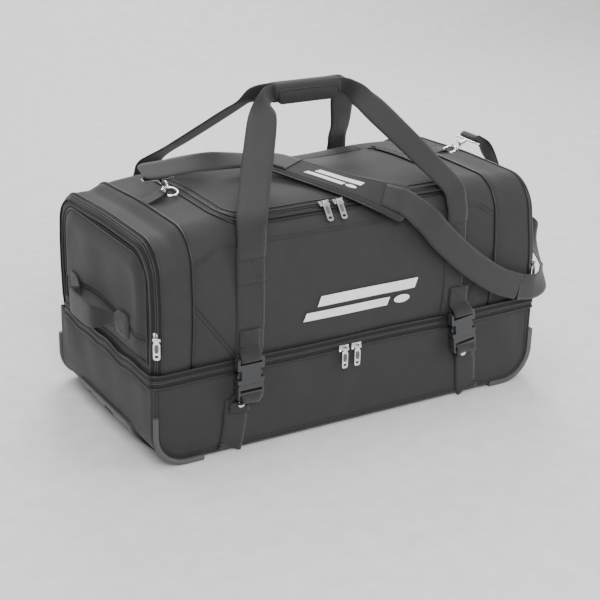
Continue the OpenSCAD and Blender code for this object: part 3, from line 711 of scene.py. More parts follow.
def build_upper_skin():
    stations = SEAM_X * np.sin(np.linspace(-1, 1, 150) * math.pi / 2)
    main = upper_skin("main_compartment_cloth", stations, hole=True)
    place(main, "upper", CLOTH, ["upper_shell"])
    for side in (-1, 1):
        x = side * SEAM_X
        y, z = profile(x, 90)
        rise = z - UPPER_BOTTOM
        wall = np.stack([np.stack([np.full_like(y, x - side * 0.001), y * t, UPPER_BOTTOM + rise * t], 1)
                         for t in np.linspace(0.02, 1, 14)])
        place(thicken(grid_piece(f"inner_wall_{'left' if side < 0 else 'right'}", wall), 0.002),
              "upper", LINING, ["upper_shell"])


def build_end_welts():
    """The narrow strip of end wall between each flap's hinge line and the zip."""
    y = np.linspace(-0.180, 0.180, 60)
    corner = np.clip((np.abs(y) - 0.160) / 0.026, 0, 1)
    x = 0.3665 - 0.026 * (1 - np.sqrt(1 - corner ** 2))
    for side, word in ((-1, "left"), (1, "right")):
        points = np.stack([np.stack([side * x, y, np.full(60, z)], 1)
                           for z in np.linspace(0.1490, 0.1720, 6)])
        place(thicken(grid_piece(f"end_welt_{word}", points), 0.001), "upper", CLOTH)


FLAP_HALF = flap_high[1] + 0.004
FLAP_LOW = flap_low[2] - 0.003
FLAP_TOPS = {-1: 0.3430, 1: 0.3530}
FLAP_R = 0.050
EDGE_X = 0.352        # where each pocket's side cloth starts to turn into its end
END_X = 0.364         # the flat of each pocket's end


def pocket_ring(x, inset, side):
    """The pocket's outline at x, drawn in from the sides and top by inset."""
    y, z = profile(side * x, 120)
    shrink_y = (HALF_W - inset) / HALF_W
    height = np.clip((z - UPPER_BOTTOM) / (float(upper_top(side * x)) - UPPER_BOTTOM), 0, 1.1)
    return y * shrink_y, z - inset * height


def pocket_skin(side):
    rows = []
    for t in np.linspace(0, 1, 16):
        x = SEAM_X + (EDGE_X - SEAM_X) * t
        y, z = pocket_ring(x, 0.0, side)
        rows.append(np.stack([np.full_like(y, x), y, z], 1))
    for a in np.radians(np.linspace(10, 90, 9)):
        x = EDGE_X + 0.014 * math.sin(a)
        y, z = pocket_ring(min(x, END_X), 0.016 * (1 - math.cos(a)), side)
        rows.append(np.stack([np.full_like(y, x), y, z], 1))
    points = np.array(rows)
    points[..., 0] *= side
    return thicken(grid_piece(f"pocket_cloth_{'left' if side < 0 else 'right'}", points), 0.003)


def flap_front(side, y, z):
    """How far the stuffed end panel stands out at one place."""
    edge = -rounded_distance(y, z, -FLAP_HALF, FLAP_HALF, FLAP_LOW, FLAP_TOPS[side], FLAP_R)
    edge = np.clip(edge, 0, None)
    puff = 0.0085 * step(edge, 0.0, 0.030) + 0.0028 * step(edge, 0.01, 0.13)
    puff = puff + 0.0016 * ripple(y, z, 0.13, 31) * step(edge, 0.01, 0.04)
    seam = 0.222 + 0.020 * np.cos(np.clip(y / FLAP_HALF, -1, 1) * math.pi / 2) ** 2 - 0.012
    return puff - 0.0016 * np.exp(-((z - seam) / 0.004) ** 2)


def flap_seam_z(y):
    return 0.222 + 0.020 * math.cos(max(-1, min(1, y / FLAP_HALF)) * math.pi / 2) ** 2 - 0.012


def flap_point(side, y, z, out=0.0):
    return np.array([side * (END_X + float(flap_front(side, y, z)) + out), y, z])


def flap_skin(side):
    """The end panel of a pocket: a crowned sheet with rounded upper corners and a turned edge."""
    columns, rows = 110, 80
    y = FLAP_HALF * np.sin(np.linspace(-1, 1, columns) * math.pi / 2 * 0.985) / math.sin(math.pi / 2 * 0.985)
    corner = np.clip(np.abs(y) - (FLAP_HALF - FLAP_R), 0, FLAP_R)
    top = FLAP_TOPS[side] - FLAP_R + np.sqrt(np.maximum(FLAP_R ** 2 - corner ** 2, 0))
    t = (1 - np.cos(np.linspace(0, 1, rows) * math.pi)) / 2
    z = FLAP_LOW + (top - FLAP_LOW)[:, None] * t[None, :]
    grid_y = np.broadcast_to(y[:, None], z.shape)
    x = side * (END_X + flap_front(side, grid_y, z))
    points = np.stack([x, grid_y, z], -1)
    return thicken(grid_piece(f"end_panel_{'left' if side < 0 else 'right'}", points), 0.0028)


def pocket_edge_path(side, x, inset, count=120, out=0.0):
    y, z = pocket_ring(min(x, END_X), inset, side)
    path = np.stack([np.full_like(y, x), y, z], 1)
    centre = np.array([x, 0, 0.25])
    away = unit(path - centre)
    path = path + away * out
    return spaced(path, np.linspace(0, travel(path)[-1], count))


def build_pockets():
    for side, word in ((-1, "left"), (1, "right")):
        place(pocket_skin(side), "upper", CLOTH, [f"{word}_pocket"])
        place(flap_skin(side), f"{word}_flap", CLOTH, [f"{word}_flap"])
        # zip round the pocket's edge: tape, two coil rows and a piped rim on each side
        flip = np.array([side, 1, 1])
        tape_path = pocket_edge_path(side, 0.3605, 0.0040, 150, 0.0015)
        lean = np.array([1.0, 0, 0])
        inward = -unit(tape_path - np.array([0.3605, 0, 0.24]))
        inward[:, 0] = 0
        across = unit(lean * 0.80 + inward * 0.60)
        tape = band_part(tape_path * flip, across * flip, 0.017, 0.0012)
        place(join_meshes(f"pocket_zip_tape_{word}", [tape]), "upper", ZIP_TAPE)
        coils = [tube_part(pocket_edge_path(side, x, inset, 260, 0.0022) * flip, 0.0010, 6)
                 for x, inset in ((0.3595, 0.0030), (0.3620, 0.0050))]
        place(join_meshes(f"pocket_zip_coil_{word}", coils), "upper", ZIP_COIL)
        rim = tube_part(pocket_edge_path(side, 0.3535, 0.0002, 150, 0.0012) * flip, 0.0016, 8)
        place(join_meshes(f"pocket_zip_rim_{word}", [rim]), "upper", PIPING)
        edge = outline_path(-FLAP_HALF, FLAP_HALF, FLAP_LOW, FLAP_TOPS[side], FLAP_R, -0.004)
        cord = np.array([flap_point(side, y, z, 0.0008) for y, z in edge])
        place(join_meshes(f"end_panel_piping_{word}", [tube_part(cord, 0.0019, 8)]),
              f"{word}_flap", PIPING)
        seam_y = np.linspace(-FLAP_HALF + 0.008, FLAP_HALF - 0.008, 90)
        runs = []
        for offset in (-0.0035, 0.0035):
            path = np.array([flap_point(side, y, flap_seam_z(y) + offset, 0.0003) for y in seam_y])
            runs.append((path, (side, 0, 0)))
        stitches(f"end_panel_stitches_{word}", f"{word}_flap", runs, DARK_THREAD)


def outline_path(y0, y1, z0, z1, r, grow, count=160):
    """An upright outline with rounded upper corners, from the lower left over the top to the lower right."""
    y0, y1, z0, z1, r = y0 - grow, y1 + grow, z0 - grow, z1 + grow, r + grow
    line = [(y0, z0)]
    line += [(y0 + r - r * math.cos(a), z1 - r + r * math.sin(a)) for a in np.linspace(0, math.pi / 2, 20)]
    line += [(y1 - r + r * math.sin(a), z1 - r + r * math.cos(a)) for a in np.linspace(0, math.pi / 2, 20)]
    line += [(y1, z0)]
    line = np.array(line)
    return spaced(line, np.linspace(0, travel(line)[-1], count))


def build_piping():
    """Black cord round the bag at each pocket seam."""
    parts = []
    for side in (-1, 1):
        y, z = profile(side * SEAM_X, 160)
        path = np.stack([np.full_like(y, side * SEAM_X), y, z], 1)
        centre = np.array([side * SEAM_X, 0, 0.25])
        path = path + unit(path - centre) * 0.0015
        parts.append(tube_part(path, 0.0024, 8))
    place(join_meshes("seam_piping", parts), "upper", PIPING, ["piping_rings"])


# ---- Lid and main zip ----

def lid_skin():
    columns, rows = 96, 56
    x0, x1, y0, y1 = HOLE
    spread = np.sin(np.linspace(-1, 1, columns) * math.pi / 2 * 0.98) / math.sin(1.5394)
    u = (x0 + x1) / 2 + (x1 - x0) / 2 * spread
    corner = np.clip(np.abs(u - (x0 + x1) / 2) - ((x1 - x0) / 2 - LID_R), 0, LID_R)
    reach = LID_R - np.sqrt(np.maximum(LID_R ** 2 - corner ** 2, 0))
    t = (1 - np.cos(np.linspace(0, 1, rows) * math.pi)) / 2
    points = np.zeros((columns, rows, 3))
    for i in range(columns):
        yy = (y0 + reach[i]) + (y1 - y0 - 2 * reach[i]) * t
        py, pz = profile(u[i])
        keep = pz > float(upper_top(u[i])) - SHOULDER_R
        order = np.argsort(py[keep])
        base = np.interp(yy, py[keep][order], pz[keep][order])
        edge = np.clip(-rounded_distance(np.full_like(yy, u[i]), yy, *HOLE, LID_R), 0, None)
        puff = 0.0020 * step(edge, 0.004, 0.055) + 0.0012 * ripple(np.full_like(yy, u[i]), yy, 0.12, 41)
        points[i] = np.stack([np.full_like(yy, u[i]), yy, base + puff * step(edge, 0, 0.02)], 1)
    return thicken(grid_piece("lid_cloth", points), 0.003)


def ride_height(line, lift):
    return np.array([[x, y, skin_z(x, y) + lift] for x, y in line])


def build_lid():
    place(lid_skin(), "lid", CLOTH, ["lid_panel"])
    # the zip runs round the sides and front; its rear stretch is the sewn hinge
    for grow, body, name, lift in ((0.0065, "upper", "main_zip_outer_tape", 0.0012),
                                   (-0.0045, "lid", "main_zip_inner_tape", 0.0022)):
        line = ride_height(lid_outline(grow, 260, 0.17, 0.83), lift)
        ahead = np.gradient(line, axis=0)
        across = np.cross(unit(ahead), [0, 0, 1])
        tape = band_part(line, across, 0.0105, 0.0011)
        replaced = ["main_zip_tape"] if body == "upper" else []
        place(join_meshes(name, [tape]), body, ZIP_TAPE, replaced)
    for grow, body, name in ((0.0013, "upper", "main_zip_outer_coil"),
                             (-0.0013, "lid", "main_zip_inner_coil")):
        line = ride_height(lid_outline(grow, 320, 0.17, 0.83), 0.0024)
        place(join_meshes(name, [tube_part(line, 0.0012, 6)]), body, ZIP_COIL)
    rim = ride_height(lid_outline(0.0125, 240, 0.16, 0.84), 0.0014)
    inner = ride_height(lid_outline(-0.0105, 240, 0.16, 0.84), 0.0026)
    place(join_meshes("main_zip_rim", [tube_part(rim, 0.0014, 8)]), "upper", PIPING)
    place(join_meshes("lid_rim", [tube_part(inner, 0.0014, 8)]), "lid", PIPING)
    hinge_run = ride_height(np.stack([np.linspace(-0.18, 0.18, 60), np.full(60, HOLE[3])], 1), 0.0016)
    across = np.tile([0.0, 1.0, 0.0], (60, 1))
    strip = join_meshes("lid_hinge_tape", [band_part(hinge_run, across, 0.020, 0.0010)])
    place(strip, None, CLOTH)
    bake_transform(strip)


# ---- Lower zip ledge ----

def ledge_path(z, out, wave=0.0, count=420):
    """A line round the left end, the front and the right end at height z, standing out from the cloth."""
    half_l, half_w, r = HALF_L + out, HALF_W + out, SIDE_R + out
    turn = np.linspace(0, math.pi / 2, 12)
    line = [(-half_l, HALF_W - 0.03)]
    line += [(-half_l + r - r * math.cos(a), -half_w + r - r * math.sin(a)) for a in turn]
    line += [(half_l - r + r * math.sin(a), -half_w + r - r * math.cos(a)) for a in turn]
    line += [(half_l, HALF_W - 0.03)]
    line = np.array(line)
    x, y = spaced(line, np.linspace(0, travel(line)[-1], count)).T
    on_end = step(np.abs(x), HALF_L - 0.02, HALF_L)
    swell = np.sin((y + 0.19) * math.tau / 0.15) * 0.5 + np.sin((y + 0.05) * math.tau / 0.083) * 0.5
    rise = wave * on_end * swell
    drift = wave * 0.25 * (1 - on_end) * np.sin(x * math.tau / 0.31 + 0.6)
    return np.stack([x, y, z + rise + drift], 1)


def build_lower_zip():
    """Two tapes that meet in a coil, each bound to its cloth by a piped rim."""
    wave = 0.0030
    for body, z_tape, z_rim, name, node in (("tub", -0.0048, -0.0105, "tub", "lower_zip_tape"),
                                            ("upper", 0.0048, 0.0105, "upper", "upper_zip_tape")):
        path = ledge_path(ZIP_Z + z_tape, 0.0018, wave)
        across = np.tile([0.0, 0.0, 1.0], (len(path), 1))
        place(join_meshes(f"{name}_zip_tape", [band_part(path, across, 0.0095, 0.0011)]), body,
              ZIP_TAPE, [node])
        coil = ledge_path(ZIP_Z + z_tape * 0.27, 0.0024, wave, 500)
        place(join_meshes(f"{name}_zip_coil", [tube_part(coil, 0.0011, 6)]), body, ZIP_COIL)
        rim = ledge_path(ZIP_Z + z_rim, 0.0022, wave)
        place(join_meshes(f"{name}_zip_rim", [tube_part(rim, 0.0019, 8)]), body, PIPING)
    # rear: the cloth that hinges the two halves
    x = np.linspace(-HALF_L + 0.012, HALF_L - 0.012, 60)
    z = np.linspace(TUB_TOP - 0.010, UPPER_BOTTOM + 0.012, 14)
    grid_x, grid_z = np.meshgrid(x, z, indexing="ij")
    y = HALF_W + 0.0004 + 0.0012 * np.cos((grid_z - ZIP_Z) / 0.016 * math.pi / 2)
    hinge = thicken(grid_piece("rear_hinge_cloth", np.stack([grid_x, y, grid_z], -1)), 0.0016)
    place(hinge, None, CLOTH)
    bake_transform(hinge)


build_tub()
build_upper_skin()
build_end_welts()
build_pockets()
build_piping()
build_lid()
build_lower_zip()


# ---- CAD pieces that keep their shape ----

def dress(node, material, bevel=0.0006, segments=2):
    """Gives a CAD piece its finish and softens its edges."""
    obj = frame["nodes"][node]
    if obj.material_slots:
        for slot in obj.material_slots:
            slot.material = material
    else:
        obj.data.materials.append(material)
    if bevel:
        modify(obj, "BEVEL", width=bevel, segments=segments, limit_method="ANGLE",
               angle_limit=math.radians(40), harden_normals=False)
    return obj


def dress_cad():
    for node in ("base_board", "divider_floor"):
        dress(node, LINING, 0.0008)
    for node in ("base_skids", "tube_sleeves"):
        dress(node, BLACK_PLASTIC, 0.0008)
    for node in ("corner_guards", "wheel_housings", "pull_bezel"):
        dress(node, GREY_PLASTIC, 0.0012, 3)
    dress("pull_grip", LIGHT_PLASTIC, 0.0016, 3)
    dress("pull_button", BLACK_PLASTIC, 0.0010)
    for node in ("stage1_tubes", "stage2_tubes"):
        dress(node, TUBE, 0)
    for word in ("front", "rear"):
        dress(f"tyre_{word}", RUBBER, 0)
        dress(f"hub_{word}", HUB, 0.0005)
        dress(f"bearings_{word}", STEEL, 0.0003)
    dress("wheel_axles", STEEL, 0.0006)
    for node in ("buckle_males", "buckle_females"):
        dress(node, BUCKLE, 0.0011, 3)
    dress("buckle_arms", BUCKLE, 0.0006)
    for place_word in ("lower", "top", "pocket"):
        for word in ("left", "right"):
            dress(f"{place_word}_slider_{word}", NICKEL, 0.0009, 3)
            dress(f"{place_word}_pull_{word}", NICKEL, 0.00045)
    for node in ("d_rings", "snap_hooks"):
        dress(node, NICKEL, 0)


# ---- Webbing on the body ----

def on_front(x, z, out, side=-1):
    """A point of the bag's front (side -1) or rear (side 1), lifted by out."""
    if z < ZIP_Z:
        depth = float(tub_side(np.array(x), np.array(z)))
    else:
        depth = float(upper_side(x, z, side < 0))
    return np.array([x, side * (depth + out), z])


def straight_band(points, width, thickness=0.0022, across=(1, 0, 0), count=60):
    path = smooth_path(points, count)
    return band_part(path, np.tile(np.asarray(across, dtype=float), (count, 1)), width, thickness)


def box_stitch(x0, x1, z0, z1, out, side=-1):
    """The square and cross that hold a piece of webbing, as seams for stitches()."""
    def run(a, b):
        t = np.linspace(0, 1, 24)[:, None]
        flat = np.array(a) + (np.array(b) - np.array(a)) * t
        return np.array([on_front(x, z, out, side) for x, z in flat]), (0, side, 0)
    corners = [(x0, z0), (x1, z0), (x1, z1), (x0, z1)]
    runs = [run(corners[k], corners[(k + 1) % 4]) for k in range(4)]
    return runs + [run(corners[0], corners[2]), run(corners[1], corners[3])]


BUCKLE_X = 0.208
RIGHT_TILT = math.radians(8)


def buckle_point(side_x, local_x, local_y, local_z):
    """A place on a buckle, from its own middle, in the bag's frame. local_y is outwards from the bag."""
    centre = np.array([side_x * BUCKLE_X, -(HALF_W + 0.014), 0.1215])
    tilt = RIGHT_TILT if side_x > 0 else 0.0
    x = local_x * math.cos(tilt) - local_z * math.sin(tilt)
    z = local_x * math.sin(tilt) + local_z * math.cos(tilt)
    return centre + np.array([x, -local_y, z])


def build_body_webbing():
    parts, runs = [], []
    for side in (-1, 1):
        for sx in (-1, 1):
            x = sx * WEB_X
            path = [on_front(x, z, 0.0012, side) for z in np.linspace(0.156, 0.345, 14)]
            parts.append(straight_band(path, WEB_W, 0.0020))
            fold = [on_front(x, z, 0.0034, side) for z in np.linspace(0.284, 0.341, 8)]
            parts.append(straight_band(fold, WEB_W - 0.001, 0.0022, count=24))
            runs += box_stitch(x - 0.0215, x + 0.0215, 0.290, 0.336, 0.0047, side)
            for edge in (-0.0215, 0.0215):
                line = np.array([on_front(x + edge, z, 0.0024, side) for z in np.linspace(0.160, 0.282, 40)])
                runs.append((line, (0, side, 0)))
    place(join_meshes("body_webbing_bands", parts), "upper", WEBBING, ["body_webbing"])
    stitches("body_webbing_stitches", "upper", runs, THREAD, radius=0.00036)
    # a folded tab, stitched to the webbing, that holds the upper half of each buckle
    tabs, runs = [], []
    for sx, x in ((-1, -0.204), (1, 0.200)):
        tab = [on_front(x, 0.208, 0.0042), on_front(x, 0.196, 0.0044), on_front(x, 0.184, 0.0048),
               on_front(x, 0.178, 0.0060),
               buckle_point(sx, 0, 0.0035, 0.0500), buckle_point(sx, 0, 0.0078, 0.0440),
               buckle_point(sx, 0, 0.0074, 0.0400), buckle_point(sx, 0, 0.0020, 0.0372),
               buckle_point(sx, 0, -0.0040, 0.0390), buckle_point(sx, 0, -0.0075, 0.0440),
               on_front(x, 0.172, 0.0034)]
        tilt = RIGHT_TILT if sx > 0 else 0.0
        tabs.append(straight_band(tab, 0.037, 0.0018, (math.cos(tilt / 2), 0, math.sin(tilt / 2)), 90))
        runs += box_stitch(x - 0.0155, x + 0.0155, 0.180, 0.205, 0.0056)
    place(join_meshes("buckle_tab_bands", tabs), "upper", WEBBING)
    stitches("buckle_tab_stitches", "upper", runs, THREAD, radius=0.00036)


def lathe_part(profile_points, centre, axis, steps=28):
    """A turned piece: profile rows are (radius, distance along the axis)."""
    axis = unit(axis)
    first = unit(np.cross(axis, [0.2, 0.9, 0.4]))
    second = np.cross(axis, first)
    angle = np.linspace(0, math.tau, steps, endpoint=False)
    rows = np.array([[np.asarray(centre) + axis * h + r * (math.cos(a) * first + math.sin(a) * second)
                      for a in angle] for r, h in profile_points])
    faces = [tuple(f) for f in grid_faces(len(rows), steps, False, True)]
    faces.append(tuple((len(rows) - 1) * steps + k for k in range(steps)))
    return rows.reshape(-1, 3), faces, np.zeros((len(rows) * steps, 2))


RIVET_X = 0.218
RIVET_Z = 0.083
STRAP_W = 0.047       # shoulder strap


def build_lower_webbing():
    parts, rivets = [], []
    for side in (-1, 1):
        for sx in (-1, 1):
            foot, head = sx * (LOW_WEB_X + 0.010), sx * (LOW_WEB_X - 0.002)
            heights = np.array([0.0085, 0.012, 0.018, 0.030, 0.050, 0.070, 0.091])
            path = [on_front(foot + (head - foot) * k / 6, z, 0.0012, side) for k, z in enumerate(heights)]
            under = np.array([[foot, side * y, TUB_BOTTOM - 0.0012] for y in (0.120, 0.150, 0.170)])
            parts.append(straight_band(list(under) + path, 0.042, 0.0020, count=90))
            if side > 0:
                continue
            loop = [on_front(sx * 0.2215, 0.074, 0.0034), on_front(sx * 0.2195, 0.088, 0.0040),
                    buckle_point(sx, sx * 0.004, -0.0070, -0.0260), buckle_point(sx, 0, -0.0066, -0.0190),
                    buckle_point(sx, 0, 0.0010, -0.0150), buckle_point(sx, 0, 0.0074, -0.0185),
                    buckle_point(sx, 0, 0.0078, -0.0250), buckle_point(sx, sx * 0.003, 0.0040, -0.0320),
                    on_front(sx * 0.220, 0.084, 0.0062), on_front(sx * 0.2215, 0.070, 0.0058)]
            parts.append(straight_band(loop, 0.036, 0.0018, count=90))
            centre = np.array([sx * RIVET_X, -(HALF_W + 0.0064), RIVET_Z])
            dome = [(0.0063, -0.0006), (0.0063, 0.0006), (0.0055, 0.0016), (0.0036, 0.0023), (0.0014, 0.0025),
                    (0.0003, 0.0022)]
            rivets.append(lathe_part(dome, centre, (0, -1, 0)))
    place(join_meshes("lower_webbing_bands", parts), "tub", WEBBING, ["lower_webbing"])
    place(join_meshes("rivet_caps", rivets), "tub", NICKEL, ["strap_rivets"])


# ---- Zip pulls: the rubber insert of each ----

def build_pull_inserts():
    for word in ("lower", "top", "pocket"):
        for side in ("left", "right"):
            node = frame["nodes"][f"{word}_pull_{side}"]
            joint = next(j for j in frame["joints"] if j["child"] == f"{word}_pull_{side[0]}")
            hinge = np.array(joint["pos_m"])
            axis = unit(joint["axis"])
            points = np.array([v.co for v in node.data.vertices])
            reach = points - hinge
            reach -= np.outer(reach @ axis, axis)
            tip = reach[np.argmax(np.linalg.norm(reach, axis=1))]
            down = unit(tip)
            out = np.cross(axis, down)
            rows = []
            for t in np.linspace(0, 1, 10):
                half = 0.0032 * (0.75 + 0.25 * math.sin(t * math.pi)) * (1 if 0 < t < 1 else 0.6)
                middle = hinge + down * (0.0085 + 0.0135 * t)
                rows.append([middle + axis * half * a for a in np.linspace(-1, 1, 5)])
            rows = np.array(rows)
            parts = []
            for s in (-1, 1):
                lift = rows + out * s * 0.0012
                faces = grid_faces(10, 5)
                parts.append((lift.reshape(-1, 3), faces if s > 0 else faces[:, ::-1], np.zeros((50, 2))))
            insert = join_meshes(f"{word}_pull_insert_{side}", parts)
            modify(insert, "SOLIDIFY", thickness=0.0006, offset=0)
            place(insert, f"{word}_pull_{side[0]}", INSERT)


# ---- Carry handles ----

GRIP_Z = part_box("handle_wrap")[1][2] - 0.014
GRIP_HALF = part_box("handle_wrap")[1][0]


def handle_leg_part(sx, side):
    """One leg of a carry handle: it leaves the sewn fold, rises, and gathers into the grip."""
    rows = [(WEB_X, 0.1895, 0.322, 0.050), (WEB_X, 0.1915, 0.340, 0.050), (0.2000, 0.1880, 0.360, 0.050),
            (0.1950, 0.1780, 0.385, 0.050), (0.166, 0.1330, 0.422, 0.050), (0.134, 0.0880, 0.461, 0.050),
            (0.106, 0.0480, 0.496, 0.048), (0.090, 0.0260, 0.514, 0.038), (0.078, 0.0120, 0.526, 0.030),
            (0.062, 0.0080, GRIP_Z, 0.026), (0.030, 0.0075, GRIP_Z, 0.024), (0.0, 0.0075, GRIP_Z, 0.024)]
    rows = smooth_path(rows, 70)
    path = rows[:, :3] * np.array([sx, side, 1])
    turn = step(rows[:, 2], GRIP_Z - 0.026, GRIP_Z)[:, None]
    across = np.array([1.0, 0, 0]) * (1 - turn) + np.array([0.0, 0.0, 1.0]) * turn * sx
    across[:, 1] += 0.25 * side * step(rows[:, 2], 0.35, 0.42)
    return band_part(path, across, rows[:, 3], 0.0022)


def build_handles():
    for side, word in ((-1, "front"), (1, "rear")):
        parts = [handle_leg_part(sx, side) for sx in (-1, 1)]
        webbing = join_meshes(f"{word}_handle_webbing", parts)
        place(webbing, f"{word}_handle", WEBBING, [f"{word}_handle"])
    # padded sleeve round both handles
    steps, stations = 40, 40
    angle = np.linspace(0, math.tau, steps, endpoint=False)
    rows = []
    for t in np.linspace(-1, 1, stations):
        end = math.sqrt(max(0.0, 1 - max(0.0, (abs(t) - 0.90) / 0.10) ** 2)) * 0.35 + 0.65
        half_y, up, down = 0.0165 * end, 0.0150 * end, 0.0185 * end
        c, s = np.cos(angle), np.sin(angle)
        y = half_y * np.sign(c) * np.abs(c) ** 0.8 * (1 - 0.25 * (s < 0) * np.abs(s) ** 2)
        z = GRIP_Z - 0.001 + np.where(s > 0, up, down) * np.sign(s) * np.abs(s) ** 0.85
        rows.append(np.stack([np.full(steps, t * GRIP_HALF), y, z], 1))
    sleeve = np.array(rows)
    wrap = grid_piece("grip_sleeve", sleeve, wrap_columns=True)
    thicken(wrap, 0.0025, heart=(0, 0.008, GRIP_Z))
    place(wrap, "front_handle", CLOTH_PAD, ["handle_wrap"])
    # the closing flap hangs over the front, with rounded corners and a bound edge
    count_x, count_z = 44, 16
    flap = np.zeros((count_x, count_z, 3))
    half = GRIP_HALF - 0.008
    for i, x in enumerate(np.linspace(-half, half, count_x)):
        corner = 0.010
        near = max(0.0, abs(x) - (half - corner))
        cut = corner - math.sqrt(max(0.0, corner ** 2 - near ** 2))
        for j, t in enumerate(np.linspace(0, 1, count_z)):
            z = GRIP_Z + 0.004 - cut * 0.6 - t * (0.0235 - cut * 1.3)
            puff = 0.0030 * math.sin(math.pi * min(1, t + 0.08)) * (1 - (abs(x) / half) ** 6)
            flap[i, j] = (x, -0.0168 - puff + 0.0035 * t ** 2, z)
    flap_obj = thicken(grid_piece("grip_flap", flap), 0.0022, heart=(0, 0.008, GRIP_Z))
    place(flap_obj, "front_handle", CLOTH_PAD)
    rim = np.concatenate([flap[:, 0], flap[-1, 1:], flap[::-1, -1][1:], flap[0, ::-1][1:]])
    binding = join_meshes("grip_flap_piping", [tube_part(rim[:-1], 0.0013, 6, True)])
    place(binding, "front_handle", PIPING)


# ---- Shoulder strap ----

# Each row is the middle of the band and then the direction across it; x, y, z in metres
STRAP_LEFT = [
    (-0.283, 0.033, 0.4125, 0, 0.95, 0.30), (-0.240, 0.031, 0.4140, 0, 0.95, 0.32),
    (-0.200, 0.029, 0.4170, 0, 0.95, 0.35), (-0.155, 0.025, 0.4180, 0, 0.95, 0.38),
    (-0.112, 0.023, 0.4150, 0.1, 0.95, 0.25), (-0.078, 0.020, 0.4120, 0.45, 0.88, 0.1)]
STRAP_RIGHT = [
    (0.108, -0.1995, 0.352, 0.72, 0.2, 0.64), (0.125, -0.2060, 0.335, 0.74, 0.05, 0.66),
    (0.150, -0.2080, 0.307, 0.62, 0, 0.78), (0.205, -0.2080, 0.258, 0.58, 0, 0.81),
    (0.268, -0.2065, 0.214, 0.50, 0, 0.86), (0.322, -0.2045, 0.190, 0.28, 0, 0.95),
    (0.360, -0.2000, 0.184, 0.05, 0, 1), (0.391, -0.1830, 0.190, -0.15, 0.25, 0.95),
    (0.405, -0.1500, 0.212, -0.20, 0.50, 0.84), (0.4055, -0.1100, 0.256, -0.1, 0.66, 0.74),
    (0.400, -0.0660, 0.312, 0, 0.75, 0.65), (0.3955, -0.0240, 0.352, 0, 0.85, 0.5),
    (0.389, 0.0060, 0.381, -0.1, 0.95, 0.3), (0.379, 0.0210, 0.3960, -0.1, 1, 0.1),
    (0.3700, 0.0220, 0.4010, 0, 1, 0), (0.3630, 0.0220, 0.3960, 0, 1, 0), (0.3680, 0.0215, 0.3910, 0, 1, 0),
    (0.378, 0.0190, 0.3900, 0, 1, 0)]
PAD = [
    (-0.049, 0.014, 0.405, 0.85, 0.45, 0.1), (-0.034, -0.018, 0.4025, 0.86, 0.42, 0.1),
    (-0.020, -0.052, 0.400, 0.88, 0.4, 0.12), (-0.006, -0.088, 0.398, 0.88, 0.38, 0.14),
    (0.006, -0.119, 0.396, 0.86, 0.45, 0.18), (0.024, -0.147, 0.392, 0.82, 0.5, 0.26),
    (0.050, -0.170, 0.383, 0.75, 0.5, 0.4), (0.084, -0.189, 0.370, 0.7, 0.35, 0.6)]


def strap_band(name, rows, count, round_start=False):
    rows = smooth_path(rows, count)
    widths = np.full(count, STRAP_W)
    if round_start:
        t = np.clip(np.arange(count) / 9, 0, 1)
        widths = STRAP_W * (0.55 + 0.45 * np.sqrt(1 - (1 - t) ** 2))
    return join_meshes(name, [band_part(rows[:, :3], rows[:, 3:], widths, 0.0019)])


def pad_frame(count):
    """The pad's middle line, the directions across it and square to it, and the side that looks up."""
    rows = smooth_path(PAD, count)
    path = rows[:, :3]
    ahead = unit(np.gradient(path, axis=0))
    across = unit(rows[:, 3:] - ahead * np.sum(rows[:, 3:] * ahead, axis=1, keepdims=True))
    normal = np.cross(ahead, across)
    up = normal if normal[count // 2, 2] > 0 else -normal
    return path, across, normal, up


def on_pad(low, high, every):
    """Stations of webbing sewn over the pad, between two places along it."""
    path, across, _, up = pad_frame(70)
    return [tuple(path[k] + up[k] * 0.0064) + tuple(across[k]) for k in range(low, high, every)]


def build_strap():
    rows = STRAP_LEFT + on_pad(1, 12, 5)
    left = strap_band("strap_left_run", rows, 150, True)
    place(left, None, WEBBING, ["strap_left"])
    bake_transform(left)
    angle = np.linspace(0, math.tau, 20)
    bar = np.array([-0.256, 0.0277, 0.4030])
    loop = bar + np.stack([0 * angle, 0.0033 * np.cos(angle), 0.0033 * np.sin(angle)], 1)
    turn = band_part(loop, np.tile([1.0, 0, 0], (20, 1)), 0.046, 0.0016)
    lead = straight_band([bar + (0, 0, 0.0032), bar + (0, 0.005, 0.0050), bar + (0, 0.009, 0.0090)],
                         0.046, 0.0018)
    place(join_meshes("strap_left_loop", [turn, lead]), "upper", WEBBING)
    rows = on_pad(58, 69, 5) + STRAP_RIGHT[:6]
    front = place(strap_band("strap_front_run", rows, 130), None, WEBBING, ["strap_right"])
    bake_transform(front)
    rise = place(strap_band("strap_corner_run", STRAP_RIGHT[5:9], 60), None, WEBBING)
    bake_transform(rise)
    top = place(strap_band("strap_end_run", STRAP_RIGHT[8:], 120), None, WEBBING)
    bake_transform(top)


